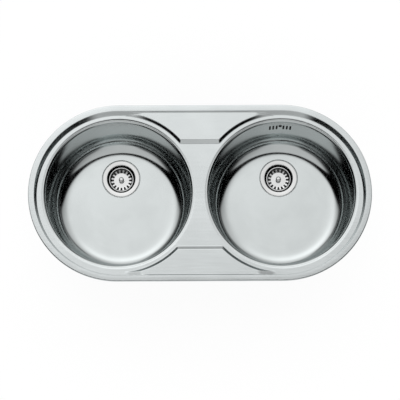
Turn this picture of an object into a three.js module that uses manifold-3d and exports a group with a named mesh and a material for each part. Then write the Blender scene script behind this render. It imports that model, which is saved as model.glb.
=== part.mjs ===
// Double bowl kitchen sink: a pressed stainless deck with half-round ends and two round bowls,
// a basket strainer waste in each bowl, an overflow on the right bowl, and eight screw clips
// that pull the rim down on a worktop.
//
// Millimetres. +X runs along the sink, +Y points to the back of the worktop and +Z is up.
// The origin is the middle of the sink on the worktop's top surface.

import * as THREE from 'three';
import { mergeVertices } from 'three/addons/utils/BufferGeometryUtils.js';
import Module from 'manifold-3d';

const wasm = await Module();
wasm.setup();

// ---------------------------------------------------------------- driving dimensions

const length = 840; // overall, along X
const width = 440; // overall, along Y, and the diameter of the half-round ends
const sheet = 1; // stainless sheet of deck and bowls

const weldGap = 0.2; // between a bowl's lip and the deck's hole
const stackGap = 0.1; // between flat faces that are stacked and clamped
const fitGap = 0.3; // between pieces that seat in one another

const deck = {
  rimTop: 4, // border's top face
  rimEdge: 0.6, // lower edge of the rim
  borderWidth: 15, // from the outer edge to the bevel
  roundDrop: 1.1, // the border falls away outwards, and its edge is rounded
  roundWidth: 10,
  roundLowDrop: 2.6,
  roundLowWidth: 1.4,
  bevelWidth: 5.5, // bevel from the border down to the ledge
  bevelShift: -3.2, // the bevel's foot lies nearer the front, so the ledge is wider there
  ledgeWidth: 14.5, // from the bevel's foot to the bowl's opening
  ledgeLevel: -6, // ledge round the bowls and centre deck between them
  panelLevel: 0, // raised panels front and back between the bowls
  panelBevel: 4.5, // bevel from the border down to a panel
  panelFoot: 11, // from the bowl's opening to the foot of a panel's curved edge
  panelSlope: 1, // curved edge: width for each millimetre of height
  centreSlope: 4 / 3, // straight edge: width for each millimetre of height
  backPanel: 80.5, // from the border to the foot of the back panel's straight edge
  frontPanel: 72.5,
  panelEnd: 35, // a panel ends this far inside the bowl's centre line
};

const bowl = {
  floorLevel: -161,
  taper: THREE.MathUtils.degToRad(4),
  lipFillet: 6,
  floorFillet: 40,
};

const waste = {
  cupRadius: 34, // inside
  cupDepth: 27, // floor of the cup below the bowl's floor
  cupHoles: 8,
  cupHoleRadius: 4,
  cupHoleCircle: 14,
  cupFoot: { width: 4, step: 0.6, rise: 3 }, // chamfer round the cup's floor
  flangeWidth: 12, // beyond the cup's outside
  flangeRound: { width: 1.5, rise: 0.3 },
  flangeSink: 0.2, // flange top below the bowl's floor
  recessGap: 0.8, // round the flange
  recessDepth: 2.2,
  recessWall: 0.9,
  recessInset: 11.5, // flat floor left behind the recess
  holeGap: 1.5, // bowl's hole round the cup
  flangeSealInset: 0.5, // inside the flange's edge
  flangeSealGap: 3.2, // round the cup's outside
  screwRadius: 3,
  screwLength: 21,
  screwHeadWidth: 2.5, // beyond the shank
  screwHeadHeight: 3,
  lowerSealHeight: 2.9,
  lowerSealInset: 1, // inside the body flange's edge
  bodyGap: 2, // body round the cup
  bodyWall: 2.5,
  bodyFlangeWidth: 6.5, // beyond the body's outside
  bodyFlangeHeight: 3,
  bodyPast: 9, // straight part, below the cup's floor
  outletNeck: 9, // height of the cone down to the outlet
  outletRadius: 20, // inside
  outletWall: 3.9, // to a 1 1/2 inch pipe thread
  outletLength: 39, // from the straight part's lower end
  bossWall: 3,
  bossFloor: 1.7,
  ribs: 3,
  ribThickness: 2.5,
  ribDrop: 3, // below the boss's top
};

const basket = {
  rimGap: 2.4, // inside the cup's wall
  rimWidth: 3.4,
  rimDrop: 7, // rim below the bowl's floor
  slotMargin: 1.6, // throat beyond the slots
  slotLength: 8,
  slotWidth: 5,
  slotDrop: 3, // slots' upper ends below the rim
  slots: 16,
  dish: 1.8, // rise of the floor across the slots
  thickness: 0.8,
  studRadius: 2.4,
  studHead: 4.5,
  studHeadHeight: 1.2,
  stemWall: 0.9, // stem beyond the stud
  knobRadius: 6.5,
  knobHeight: 5,
  knobPast: 1, // top above the rim
};

const stopper = {
  cover: 6.5, // beyond the cup's holes
  thickness: 2.8,
  lip: 3,
  lipEnd: 1,
  chamfer: { width: 2, height: 1.5 },
  screwGap: 0.4, // between the centre screw and the stud's head
};

const overflow = {
  slots: 6,
  slotPitch: 8.5,
  slotWidth: 4.6,
  slotHeight: 29,
  level: -48, // middle of the slots
  screwRise: 10, // screw above the middle of the slots
  screwRadius: 2,
  screwHoleGap: 0.6,
  screwHead: 4.6,
  screwHeadHeight: 3,
  screwShort: 5, // end short of the housing's depth
  bossRadius: 4.3,
  sideMargin: 3.2, // hollow of the housing, beyond the slots
  endMargin: 3,
  wall: 3,
  gasket: 2,
  pipeRadius: 10.5,
  pipeWall: 2,
  pipeLength: 20,
  pipeSink: 0.5, // pipe into the housing's back wall
  inletCover: 9.5, // right waste's pipe, its top below the bowl's floor
  inletPast: 18, // and its end beyond the body's flange
};

const hose = {
  slack: 1.7, // corners of the bore round the pipes
  wall: 1.2,
  rib: 1.6,
  pitch: 5,
  cuff: 21,
  bend: 45,
  sides: 8,
  sink: 1.5, // crest closer to the bowl than the slots' level would let it
  flangeGap: 2, // end of the hose from the body's flange
  topGap: 1, // and from the housing
};

const rail = {
  webInset: 10.5, // web inside the bevel's foot
  depth: 19, // lower face below the worktop
  width: 7,
  thickness: 1.2,
  lipHeight: 6,
  endGap: 75, // straight rails stop this far from the bowls' centre lines
  anglePast: THREE.MathUtils.degToRad(14), // curved rails run on past their clips
};

const clip = {
  endAngle: THREE.MathUtils.degToRad(38),
  railInset: 25, // straight rails' clips, from the rail's end
  width: 20,
  thickness: 1.5,
  railGap: 0.5,
  hookGap: 1.1, // hook's leg from the rail's lip and floor
  tabDrop: 4.5, // threaded tab's top face below the rail
  screwRadius: 2.5,
  screwHoleGap: 0.4,
  screwOut: 6, // screw axis, out from the web's inner face
  screwPast: 1, // screw's end above the tab
  tabPast: 3.5, // tab beyond the screw's axis
  headHeight: 3.7,
  webPast: 2, // web below the screw's head
  jawThickness: 2,
  jawTop: 38, // gripping face below the worktop, fully open
  jawStep: 4,
  jawStepRun: 2.5,
  jawPad: 5,
  jawInset: 6.5, // from the sink's outer edge to the jaw's end
};

const seal = { inset: 3.2, width: 6 };
const pad = { thickness: 2, margin: 13.4, wasteGap: 0.5 };

const endSegments = 24; // on each half-round end
const bowlSegments = 36;
const cutReach = 10; // cutters run this far past a wall on each side

// ---------------------------------------------------------------- derived sizes

const endRadius = width / 2;
const bowlX = (length - width) / 2; // bowls and half-round ends share their centres
const borderInner = endRadius - deck.borderWidth;
const bevelFoot = borderInner - deck.bevelWidth;
const bowlRadius = bevelFoot - deck.ledgeWidth;
const centreBack = borderInner - deck.backPanel;
const centreFront = deck.frontPanel - borderInner;

const taperRun = Math.tan(bowl.taper);
const lipCentre = { r: bowlRadius - weldGap, z: deck.ledgeLevel - bowl.lipFillet };
const wallTop = {
  r: lipCentre.r - bowl.lipFillet * Math.cos(bowl.taper),
  z: lipCentre.z + bowl.lipFillet * Math.sin(bowl.taper),
};
const wallRadiusAt = (z) => wallTop.r - (wallTop.z - z) * taperRun;
const floorCentreZ = bowl.floorLevel + bowl.floorFillet;
const flatRadius =
  wallRadiusAt(floorCentreZ - bowl.floorFillet * Math.sin(bowl.taper)) -
  bowl.floorFillet * Math.cos(bowl.taper);

const cupOuter = waste.cupRadius + sheet;
const flangeRadius = cupOuter + waste.flangeWidth;
const recessRadius = flangeRadius + waste.recessGap;
const recessOuter = recessRadius + waste.recessWall;
const holeRadius = cupOuter + waste.holeGap;
const bodyInner = cupOuter + waste.bodyGap;
const bodyOuter = bodyInner + waste.bodyWall;
const bodyFlangeRadius = bodyOuter + waste.bodyFlangeWidth;
const drainY = flatRadius - waste.recessInset - recessOuter;

const rimRadius = waste.cupRadius - basket.rimGap;
const throatRadius = rimRadius - basket.rimWidth;
const slotOuter = throatRadius - basket.slotMargin;
const slotInner = slotOuter - basket.slotLength;
const studHole = basket.studRadius + fitGap;
const stopperRadius = waste.cupHoleCircle + waste.cupHoleRadius + stopper.cover;

// Heights in the waste's own frame, whose zero is the bowl's floor.
const flangeTop = -waste.flangeSink;
const flangeUnder = flangeTop - sheet;
const recessFloor = -waste.recessDepth;
const recessUnder = recessFloor - sheet;
const lowerSealTop = recessUnder - stackGap;
const bodyTop = lowerSealTop - waste.lowerSealHeight - stackGap;
const cupFloor = -waste.cupDepth;
const cupUnder = cupFloor - sheet;
const bodyBottom = cupFloor - waste.bodyPast;
const screwSeat = cupFloor + stackGap;
const screwEnd = screwSeat - waste.screwLength;
const studLow = screwSeat + waste.screwHeadHeight + stopper.screwGap;
const stopperUnder = studLow + basket.studHeadHeight + stackGap;
const stopperTop = stopperUnder + stopper.thickness;
const basketUnder = stopperTop + stackGap;
const basketFloor = basketUnder + basket.thickness;
const basketRim = -basket.rimDrop;

// The overflow's sizes, in the right bowl's own frame.
const pipeBore = overflow.pipeRadius - overflow.pipeWall;
const hoseBore = overflow.pipeRadius + hose.slack;
const hoseValley = hoseBore + hose.wall;
const hoseCrest = hoseValley + hose.rib;
const housingHalfWidth =
  (overflow.slots / 2) * overflow.slotPitch + overflow.slotWidth / 2 + overflow.sideMargin;
const housingHalfHeight = overflow.slotHeight / 2 + overflow.endMargin;
const housingDepth = overflow.wall + overflow.pipeRadius + hoseCrest - hose.sink;
const housingFront = wallRadiusAt(overflow.level) - 2 * cutReach;
const housingBack = wallRadiusAt(overflow.level) + sheet + housingDepth;
const housingLow = overflow.level - housingHalfHeight - overflow.wall;
const pipeY = housingBack - overflow.wall - overflow.pipeRadius + overflow.pipeSink;
const inletDrop = overflow.pipeRadius + overflow.inletCover;
const inletLevel = bowl.floorLevel - inletDrop;

const railInner = bevelFoot - rail.webInset;
const railLip = railInner + rail.width;
const railHalf = bowlX - rail.endGap;
const railArc = clip.endAngle + rail.anglePast;
const webInner = railLip + clip.railGap;
const webOuter = webInner + clip.thickness;
const clipScrewAt = webInner + clip.screwOut;
const clipScrewHole = clip.screwRadius + clip.screwHoleGap;
const clipHead = clip.screwOut - clip.thickness - fitGap;
const tabTop = -rail.depth - clip.tabDrop;
const clipHeadTop = -clip.jawTop - clip.jawStep - clip.jawThickness - fitGap;

// ---------------------------------------------------------------- materials

const steel = (color, roughness) =>
  new THREE.MeshStandardMaterial({ color, roughness, metalness: 1 });
const matt = (color, roughness) =>
  new THREE.MeshStandardMaterial({ color, roughness, metalness: 0 });

const finishes = {
  deck: steel(0xdfe1e3, 0.28),
  bowl: steel(0xcfd2d5, 0.24),
  waste: steel(0xd9dbdd, 0.16),
  basket: steel(0xe2e3e4, 0.2),
  fastener: steel(0xb9bcbf, 0.35),
  bracket: steel(0xaeb2b5, 0.45),
  rubber: matt(0x1d1e20, 0.75),
  gasket: matt(0x3a3c3f, 0.8),
  plastic: matt(0x202123, 0.5),
  hose: matt(0xc9cac8, 0.5),
  pad: matt(0x4a4c50, 0.95),
};

// ---------------------------------------------------------------- shape helpers

const point = (x, y) => new THREE.Vector2(x, y);

function toSolid(geometry) {
  geometry.deleteAttribute('normal');
  geometry.deleteAttribute('uv');
  const merged = mergeVertices(geometry, 1e-4);
  const index = merged.index.array;
  const triangles = [];
  for (let i = 0; i < index.length; i += 3) {
    const [a, b, c] = index.slice(i, i + 3);
    if (a !== b && b !== c && c !== a) triangles.push(a, b, c);
  }
  const vertProperties = new Float32Array(merged.attributes.position.array);
  const triVerts = new Uint32Array(triangles);
  return new wasm.Manifold(new wasm.Mesh({ numProp: 3, vertProperties, triVerts }));
}

function toGeometry(solid) {
  const { vertProperties, triVerts } = solid.getMesh();
  const geometry = new THREE.BufferGeometry();
  geometry.setAttribute('position', new THREE.BufferAttribute(vertProperties, 3));
  geometry.setIndex(new THREE.BufferAttribute(triVerts, 1));
  geometry.computeVertexNormals();
  return geometry;
}

function fromRings(rings, faces) {
  const geometry = new THREE.BufferGeometry();
  geometry.setAttribute('position', new THREE.Float32BufferAttribute(rings.flat(2), 3));
  geometry.setIndex(faces);
  return toSolid(geometry);
}

// Quads between each ring of points and the next, as pairs of triangles.
function ringFaces(ringCount, size, closed) {
  const faces = [];
  const total = ringCount * size;
  for (let ring = 0; ring < ringCount - (closed ? 0 : 1); ring += 1) {
    for (let i = 0; i < size; i += 1) {
      const a = ring * size + i;
      const b = ring * size + ((i + 1) % size);
      faces.push(a, b, (b + size) % total, a, (b + size) % total, (a + size) % total);
    }
  }
  return faces;
}

// Closed solid through a stack of outlines, each given as [outline, z] from low to high.
function loft(levels) {
  const size = levels[0][0].length;
  const rings = levels.map(([outline, z]) => outline.map((p) => [p.x, p.y, z]));
  const faces = ringFaces(levels.length, size, false);
  const last = (levels.length - 1) * size;
  for (const [a, b, c] of THREE.ShapeUtils.triangulateShape(levels[0][0], [])) {
    faces.push(c, b, a);
  }
  for (const [a, b, c] of THREE.ShapeUtils.triangulateShape(levels.at(-1)[0], [])) {
    faces.push(last + a, last + b, last + c);
  }
  return fromRings(rings, faces);
}

// Solid of revolution about Z. The profile lists [radius, z] points. It closes on itself
// unless it starts and ends on the axis.
function turned(profile, segments) {
  const points = profile.map(([r, z]) => point(r, z));
  if (THREE.ShapeUtils.isClockWise(points)) points.reverse();
  if (points[0].x > 0 || points.at(-1).x > 0) points.push(points[0].clone());
  const geometry = new THREE.LatheGeometry(points, segments);
  return toSolid(geometry.rotateX(Math.PI / 2));
}

// Prism of an outline of [x, z] points, running from low to high along Y.
function alongY(outline, low, high) {
  const shape = new THREE.Shape(outline.map(([x, z]) => point(x, z)));
  const geometry = new THREE.ExtrudeGeometry(shape, {
    depth: high - low,
    bevelEnabled: false,
  });
  return toSolid(geometry.rotateX(Math.PI / 2).translate(0, high, 0));
}

function box(x0, x1, y0, y1, z0, z1) {
  const geometry = new THREE.BoxGeometry(x1 - x0, y1 - y0, z1 - z0);
  return toSolid(geometry.translate((x0 + x1) / 2, (y0 + y1) / 2, (z0 + z1) / 2));
}

function rod(radius, low, high, segments, x = 0, y = 0) {
  const profile = [
    [0, low],
    [radius, low],
    [radius, high],
    [0, high],
  ];
  return turned(profile, segments).translate([x, y, 0]);
}

// Rod along Y through (x, z).
function rodAlongY(radius, low, high, segments, x, z) {
  const geometry = new THREE.CylinderGeometry(radius, radius, high - low, segments);
  return toSolid(geometry.translate(x, (low + high) / 2, z));
}

// The sink's outline, set in or out: two half circles about the bowls' centres.
function stadium(radius, shiftY = 0) {
  const outline = [];
  for (const [centre, start] of [
    [bowlX, -Math.PI / 2],
    [-bowlX, Math.PI / 2],
  ]) {
    for (let i = 0; i <= endSegments; i += 1) {
      const angle = start + (Math.PI * i) / endSegments;
      const x = centre + radius * Math.cos(angle);
      outline.push(point(x, shiftY + radius * Math.sin(angle)));
    }
  }
  return outline;
}

function circle(radius, x, y, segments) {
  const angles = Array.from({ length: segments }, (_, i) => (2 * Math.PI * i) / segments);
  return angles.map((a) => point(x + radius * Math.cos(a), y + radius * Math.sin(a)));
}

function rectangle(x0, x1, y0, y1) {
  return [point(x0, y0), point(x1, y0), point(x1, y1), point(x0, y1)];
}

// Arc of [r, z] points about a centre, angles in radians.
function arc(centre, radius, from, to, steps) {
  const angles = Array.from({ length: steps + 1 }, (_, i) => from + ((to - from) * i) / steps);
  return angles.map((a) => [
    centre.r + radius * Math.cos(a),
    centre.z + radius * Math.sin(a),
  ]);
}

function piece(name, solid, material) {
  const mesh = new THREE.Mesh(toGeometry(solid), material);
  mesh.name = name;
  return mesh;
}

// ---------------------------------------------------------------- deck

// Everything below one face of the pressed sheet: its top face with inset 0, its underside
// with inset 1.
function belowSheet(inset) {
  const drop = inset * sheet;
  const grow = (inset * sheet) / 2;
  const outer = endRadius - drop;
  const top = deck.rimTop - drop;
  const ledge = deck.ledgeLevel - drop;
  const panel = deck.panelLevel - drop;
  const past = 1; // cutters run this far above the rim

  const body = loft([
    [stadium(outer), bowl.floorLevel - drop],
    [stadium(outer), top - deck.roundLowDrop],
    [stadium(outer - deck.roundLowWidth), top - deck.roundDrop],
    [stadium(outer - deck.roundWidth), top],
  ]);

  const rise = top - ledge;
  const bevelOutline = (t) =>
    stadium(bevelFoot + grow + deck.bevelWidth * t, deck.bevelShift * (1 - t));
  const bevel = loft([
    [bevelOutline(0), ledge],
    [bevelOutline(1 + past / rise), top + past],
  ]);

  const high = rise + past;
  const foot = bowlRadius + deck.panelFoot + grow;
  const spread = high * deck.centreSlope;
  let low = loft([
    [rectangle(-bowlX / 2, bowlX / 2, centreFront - grow, centreBack + grow), ledge],
    [
      rectangle(
        -bowlX / 2 - spread,
        bowlX / 2 + spread,
        centreFront - grow - spread,
        centreBack + grow + spread,
      ),
      top + past,
    ],
  ]);
  for (const side of [-1, 1]) {
    const end = bowlX - deck.panelEnd - grow;
    const far = bowlX + endRadius;
    low = low
      .add(
        loft([
          [circle(foot, side * bowlX, 0, bowlSegments), ledge],
          [circle(foot + high * deck.panelSlope, side * bowlX, 0, bowlSegments), top + past],
        ]),
      )
      .add(
        box(Math.min(side * end, side * far), Math.max(side * end, side * far),
          -endRadius, endRadius, ledge, top + past),
      );
  }

  const panelRise = top - panel;
  const panelEdge = borderInner + grow;
  const panelOutline = (t) => stadium(panelEdge - deck.panelBevel * (1 - t));
  const panelX = bowlX - deck.panelEnd + grow;
  const panels = loft([
    [panelOutline(0), panel],
    [panelOutline(1 + past / panelRise), top + past],
  ]).intersect(box(-panelX, panelX, -endRadius, endRadius, panel - past, top + 2 * past));

  return body.subtract(low.intersect(bevel)).subtract(panels);
}

function makeDeck() {
  const low = bowl.floorLevel - 2 * sheet;
  const past = 1;
  const edgeCut = loft([
    [stadium(endRadius + past), low],
    [stadium(endRadius + past), deck.rimEdge],
  ]).subtract(
    loft([
      [stadium(borderInner + past), low - past],
      [stadium(borderInner + past), deck.rimEdge + past],
    ]),
  );
  let solid = belowSheet(0).subtract(belowSheet(1)).subtract(edgeCut);
  for (const side of [-1, 1]) {
    solid = solid.subtract(rod(bowlRadius, low, deck.rimTop, bowlSegments, side * bowlX));
  }
  return piece('deck', solid, finishes.deck);
}

function makeEdgeSeal() {
  const outer = endRadius - seal.inset;
  const inner = outer - seal.width;
  const slope = deck.roundDrop / (deck.roundWidth - deck.roundLowWidth);
  const flatEnd = endRadius - sheet - deck.roundWidth;
  const under = (r) => deck.rimTop - sheet - stackGap - slope * (r - flatEnd);
  const profile = [
    [inner, 0],
    [outer, 0],
    [outer, under(outer)],
    [inner, under(inner)],
  ];
  const outlines = profile.map(([r, z]) => stadium(r).map((p) => [p.x, p.y, z]));
  const faces = ringFaces(profile.length, outlines[0].length, true);
  return piece('edge_seal', fromRings(outlines, faces), finishes.gasket);
}

// ---------------------------------------------------------------- bowls

// The bowl's wall from lip to floor, set out from its inside face, as [r, z] points.
function bowlWall(out) {
  const half = Math.PI / 2;
  const lip = arc(lipCentre, bowl.lipFillet - out, half, Math.PI - bowl.taper, 3);
  const floor = arc(
    { r: flatRadius, z: floorCentreZ },
    bowl.floorFillet + out,
    -bowl.taper,
    -half,
    4,
  );
  return [...lip, ...floor, [0, bowl.floorLevel - out]];
}

// Solid cone of the tapered wall's outside, set out by a gap.
function bowlCone(gap) {
  const low = floorCentreZ;
  const high = wallTop.z;
  const out = (sheet + gap) / Math.cos(bowl.taper);
  const profile = [
    [0, low],
    [wallRadiusAt(low) + out, low],
    [wallRadiusAt(high) + out, high],
    [0, high],
  ];
  return turned(profile, bowlSegments);
}

function overflowSlot(x) {
  const r = overflow.slotWidth / 2;
  const half = overflow.slotHeight / 2 - r;
  const up = arc({ r: x, z: overflow.level + half }, r, 0, Math.PI, 3);
  const down = arc({ r: x, z: overflow.level - half }, r, Math.PI, 2 * Math.PI, 3);
  const back = wallRadiusAt(overflow.level);
  return alongY([...up, ...down], back - cutReach, back + cutReach);
}

// Places of the overflow's slots, three each side of its screw.
function slotPlaces() {
  const half = overflow.slots / 2;
  const steps = Array.from({ length: half }, (_, i) => (i + 1) * overflow.slotPitch);
  return [...steps.map((x) => -x).reverse(), ...steps];
}

function makeBowl(name, side) {
  const shell = turned([...bowlWall(0), ...bowlWall(sheet).reverse()], bowlSegments);
  const floor = bowl.floorLevel;
  const ring = 32;
  const cut = rod(
    recessOuter - waste.recessWall / 2,
    floor - cutReach,
    floor + cutReach,
    ring,
    0,
    drainY,
  );
  const pan = turned(
    [
      [holeRadius, floor + recessUnder],
      [recessOuter, floor + recessUnder],
      [recessOuter, floor],
      [recessRadius, floor],
      [recessRadius, floor + recessFloor],
      [holeRadius, floor + recessFloor],
    ],
    ring,
  ).translate([0, drainY, 0]);
  let solid = shell.subtract(cut).add(pan);
  if (side > 0) {
    for (const x of slotPlaces()) solid = solid.subtract(overflowSlot(x));
    const z = overflow.level + overflow.screwRise;
    const back = wallRadiusAt(z);
    const hole = overflow.screwRadius + overflow.screwHoleGap;
    solid = solid.subtract(rodAlongY(hole, back - cutReach, back + cutReach, 10, 0, z));
  }
  const mesh = piece(name, solid, finishes.bowl);
  mesh.position.x = side * bowlX;
  return mesh;
}

// Damping pad under the flat floor, in front of the waste.
function makeSoundPad(name, side) {
  const back = drainY - recessOuter - pad.wasteGap;
  const front = -(flatRadius - pad.margin);
  const top = bowl.floorLevel - sheet - stackGap;
  const disc = rod((back - front) / 2, top - pad.thickness, top, 24);
  const mesh = piece(name, disc, finishes.pad);
  mesh.position.set(side * bowlX, (back + front) / 2, 0);
  return mesh;
}

// ---------------------------------------------------------------- wastes

// Rounded lip of the cup, as [beyond the cup's wall, below the flange's face] points.
const cupLip = [
  [0, 3.6],
  [0.6, 1.3],
  [1.7, 0.3],
  [3.2, 0],
];
const cupLipUnder = [
  [3, 0],
  [1, 0.9],
  [0, 3.8],
];

function strainerCup() {
  const r = waste.cupRadius;
  const { width: footWidth, step, rise } = waste.cupFoot;
  const round = waste.flangeRound;
  const hole = waste.screwRadius + fitGap;
  const profile = [
    [hole, cupFloor],
    [r - footWidth, cupFloor],
    [r - step, cupFloor + rise],
    ...cupLip.map(([out, down]) => [r + out, flangeTop - down]),
    [flangeRadius - round.width, flangeTop],
    [flangeRadius, flangeUnder + round.rise],
    [flangeRadius, flangeUnder],
    ...cupLipUnder.map(([out, down]) => [cupOuter + out, flangeUnder - down]),
    [cupOuter - step, cupFloor + rise - 0.4 * sheet],
    [r - footWidth + 0.4 * sheet, cupUnder],
    [hole, cupUnder],
  ];
  let solid = turned(profile, 24);
  for (let i = 0; i < waste.cupHoles; i += 1) {
    const angle = (2 * Math.PI * (i + 0.5)) / waste.cupHoles;
    const x = waste.cupHoleCircle * Math.cos(angle);
    const y = waste.cupHoleCircle * Math.sin(angle);
    solid = solid.subtract(rod(waste.cupHoleRadius, cupUnder - 1, cupFloor + 1, 6, x, y));
  }
  return solid;
}

// Flat ring between two radii and two heights.
function washer(inner, outer, low, high, segments) {
  const profile = [
    [inner, low],
    [outer, low],
    [outer, high],
    [inner, high],
  ];
  return turned(profile, segments);
}

function centreScrew() {
  const head = waste.screwRadius + waste.screwHeadWidth;
  return rod(head, screwSeat, screwSeat + waste.screwHeadHeight, 12).add(
    rod(waste.screwRadius, screwEnd, screwSeat + waste.screwHeadHeight / 2, 12),
  );
}

function wasteBody(withInlet) {
  const outlet = waste.outletRadius;
  const outletOuter = outlet + waste.outletWall;
  const outletEnd = bodyBottom - waste.outletLength;
  const neckLow = bodyBottom - waste.outletNeck;
  const flangeLow = bodyTop - waste.bodyFlangeHeight;
  let solid = turned(
    [
      [bodyInner, bodyTop],
      [bodyInner, bodyBottom],
      [outlet, neckLow],
      [outlet, outletEnd],
      [outletOuter, outletEnd],
      [outletOuter, neckLow - waste.outletWall],
      [bodyOuter, bodyBottom - waste.bodyWall],
      [bodyOuter, flangeLow],
      [bodyFlangeRadius, flangeLow],
      [bodyFlangeRadius, bodyTop],
    ],
    28,
  );
  const bossTop = cupUnder - stackGap;
  const boreLow = screwEnd - fitGap;
  const boss = rod(waste.screwRadius + waste.bossWall, boreLow - waste.bossFloor, bossTop, 12);
  solid = solid.add(boss);
  const half = waste.ribThickness / 2;
  const armEnd = bodyInner + waste.bodyWall / 2;
  const arm = box(0, armEnd, -half, half, bodyBottom, bossTop - waste.ribDrop);
  for (let i = 0; i < waste.ribs; i += 1) {
    solid = solid.add(arm.rotate([0, 0, 150 + (360 * i) / waste.ribs]));
  }
  solid = solid.subtract(rod(waste.screwRadius + fitGap, boreLow, bossTop + 1, 12));
  if (withInlet) {
    const reach = bodyFlangeRadius + overflow.inletPast;
    const inWall = bodyInner + waste.bodyWall / 5;
    const inBody = bodyInner - 1.6 * waste.bodyWall;
    solid = solid
      .add(rodAlongY(overflow.pipeRadius, inWall, reach, 16, 0, -inletDrop))
      .subtract(rodAlongY(pipeBore, inBody, reach + 1, 16, 0, -inletDrop));
  }
  return solid;
}

function strainerBasket() {
  const t = basket.thickness;
  const dishTop = basketFloor + basket.dish;
  const profile = [
    [studHole, basketFloor],
    [slotInner - t / 2, basketFloor],
    [slotOuter + 0.5, dishTop],
    [throatRadius, basketRim - 1.5 * t],
    [throatRadius + 0.7, basketRim],
    [rimRadius, basketRim],
    [rimRadius, basketRim - t],
    [throatRadius + t, basketRim - 2 * t],
    [slotOuter + 1.2, dishTop - 0.7],
    [slotInner - t / 4, basketUnder],
    [studHole, basketUnder],
  ];
  let solid = turned(profile, 2 * basket.slots);
  const half = basket.slotWidth / 2;
  const slotTop = basketRim - basket.slotDrop;
  const slot = box(slotInner, slotOuter, -half, half, basketUnder - 1, slotTop);
  for (let i = 0; i < basket.slots; i += 1) {
    solid = solid.subtract(slot.rotate([0, 0, (360 * i) / basket.slots]));
  }
  return solid;
}

// Knob, stem and the stud that holds the stopper, turned in one piece.
function basketKnob() {
  const stem = basket.studRadius + basket.stemWall;
  const foot = basketFloor + stackGap;
  const top = basketRim + basket.knobPast;
  const knob = top - basket.knobHeight;
  const step = basket.studHeadHeight;
  const profile = [
    [0, studLow],
    [basket.studHead, studLow],
    [basket.studHead, studLow + step],
    [basket.studRadius, studLow + step],
    [basket.studRadius, foot],
    [stem + 1.5, foot],
    [stem, foot + step],
    [stem, knob - step / 2],
    [basket.knobRadius - 0.8, knob],
    [basket.knobRadius, knob + 0.24 * basket.knobHeight],
    [basket.knobRadius, knob + 0.56 * basket.knobHeight],
    [basket.knobRadius * 0.75, knob + 0.86 * basket.knobHeight],
    [basket.knobRadius * 0.35, top],
    [0, top],
  ];
  return turned(profile, 14);
}

function rubberStopper() {
  const profile = [
    [studHole, stopperTop],
    [stopperRadius - stopper.chamfer.width, stopperTop],
    [stopperRadius, stopperTop - stopper.chamfer.height],
    [stopperRadius, screwSeat],
    [stopperRadius - stopper.lipEnd, screwSeat],
    [stopperRadius - stopper.lip, stopperUnder],
    [studHole, stopperUnder],
  ];
  return turned(profile, 24);
}

function makeWaste(name, side) {
  const group = new THREE.Group();
  group.position.set(side * bowlX, drainY, bowl.floorLevel);
  const flangeSeal = washer(
    cupOuter + waste.flangeSealGap,
    flangeRadius - waste.flangeSealInset,
    recessFloor + stackGap,
    flangeUnder - stackGap,
    24,
  );
  const lowerSeal = washer(
    holeRadius + fitGap,
    bodyFlangeRadius - waste.lowerSealInset,
    lowerSealTop - waste.lowerSealHeight,
    lowerSealTop,
    24,
  );
  group.add(
    piece(`${name}_strainer_cup`, strainerCup(), finishes.waste),
    piece(`${name}_flange_seal`, flangeSeal, finishes.gasket),
    piece(`${name}_lower_seal`, lowerSeal, finishes.rubber),
    piece(`${name}_waste_body`, wasteBody(side > 0), finishes.plastic),
    piece(`${name}_centre_screw`, centreScrew(), finishes.fastener),
    piece(`${name}_basket`, strainerBasket(), finishes.basket),
    piece(`${name}_basket_knob`, basketKnob(), finishes.basket),
    piece(`${name}_stopper`, rubberStopper(), finishes.rubber),
  );
  return group;
}

// ---------------------------------------------------------------- overflow

// The overflow's own frame is the right bowl's axis at the worktop's height.

function overflowBlock(grow, front, back) {
  const x = housingHalfWidth + grow;
  const z = housingHalfHeight + grow;
  return box(-x, x, front, back, overflow.level - z, overflow.level + z);
}

function overflowGasket() {
  return bowlCone(stackGap + overflow.gasket)
    .subtract(bowlCone(stackGap))
    .intersect(overflowBlock(overflow.wall, housingFront, housingBack))
    .subtract(overflowBlock(0, housingFront - 1, housingBack + 1));
}

function overflowHousing() {
  const innerBack = housingBack - overflow.wall;
  const screwZ = overflow.level + overflow.screwRise;
  const boss = rodAlongY(overflow.bossRadius, housingFront, housingBack - 1, 12, 0, screwZ);
  const pipeLow = housingLow - overflow.pipeLength;
  const pipe = rod(overflow.pipeRadius, pipeLow, housingLow + 1, 16, 0, pipeY);
  const bore = rod(pipeBore, pipeLow - 1, housingLow + overflow.wall + 1, 16, 0, pipeY);
  const hole = overflow.screwRadius + fitGap;
  return overflowBlock(overflow.wall, housingFront, housingBack)
    .subtract(overflowBlock(0, housingFront - 1, innerBack))
    .add(boss)
    .add(pipe)
    .subtract(bore)
    .subtract(bowlCone(2 * stackGap + overflow.gasket))
    .subtract(rodAlongY(hole, housingFront, innerBack - 1, 10, 0, screwZ));
}

function overflowScrew() {
  const z = overflow.level + overflow.screwRise;
  const rise = overflow.screwHead * taperRun;
  const under = wallRadiusAt(z) - rise - fitGap;
  const high = overflow.screwHeadHeight;
  const end = overflow.screwShort - housingDepth;
  const profile = [
    [0, high],
    [overflow.screwHead * 0.5, high * 0.9],
    [overflow.screwHead * 0.88, high * 0.5],
    [overflow.screwHead, 0],
    [overflow.screwRadius, 0],
    [overflow.screwRadius, end],
    [0, end],
  ];
  return turned(profile, 12).rotate([90, 0, 0]).translate([0, under, z]);
}

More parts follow.
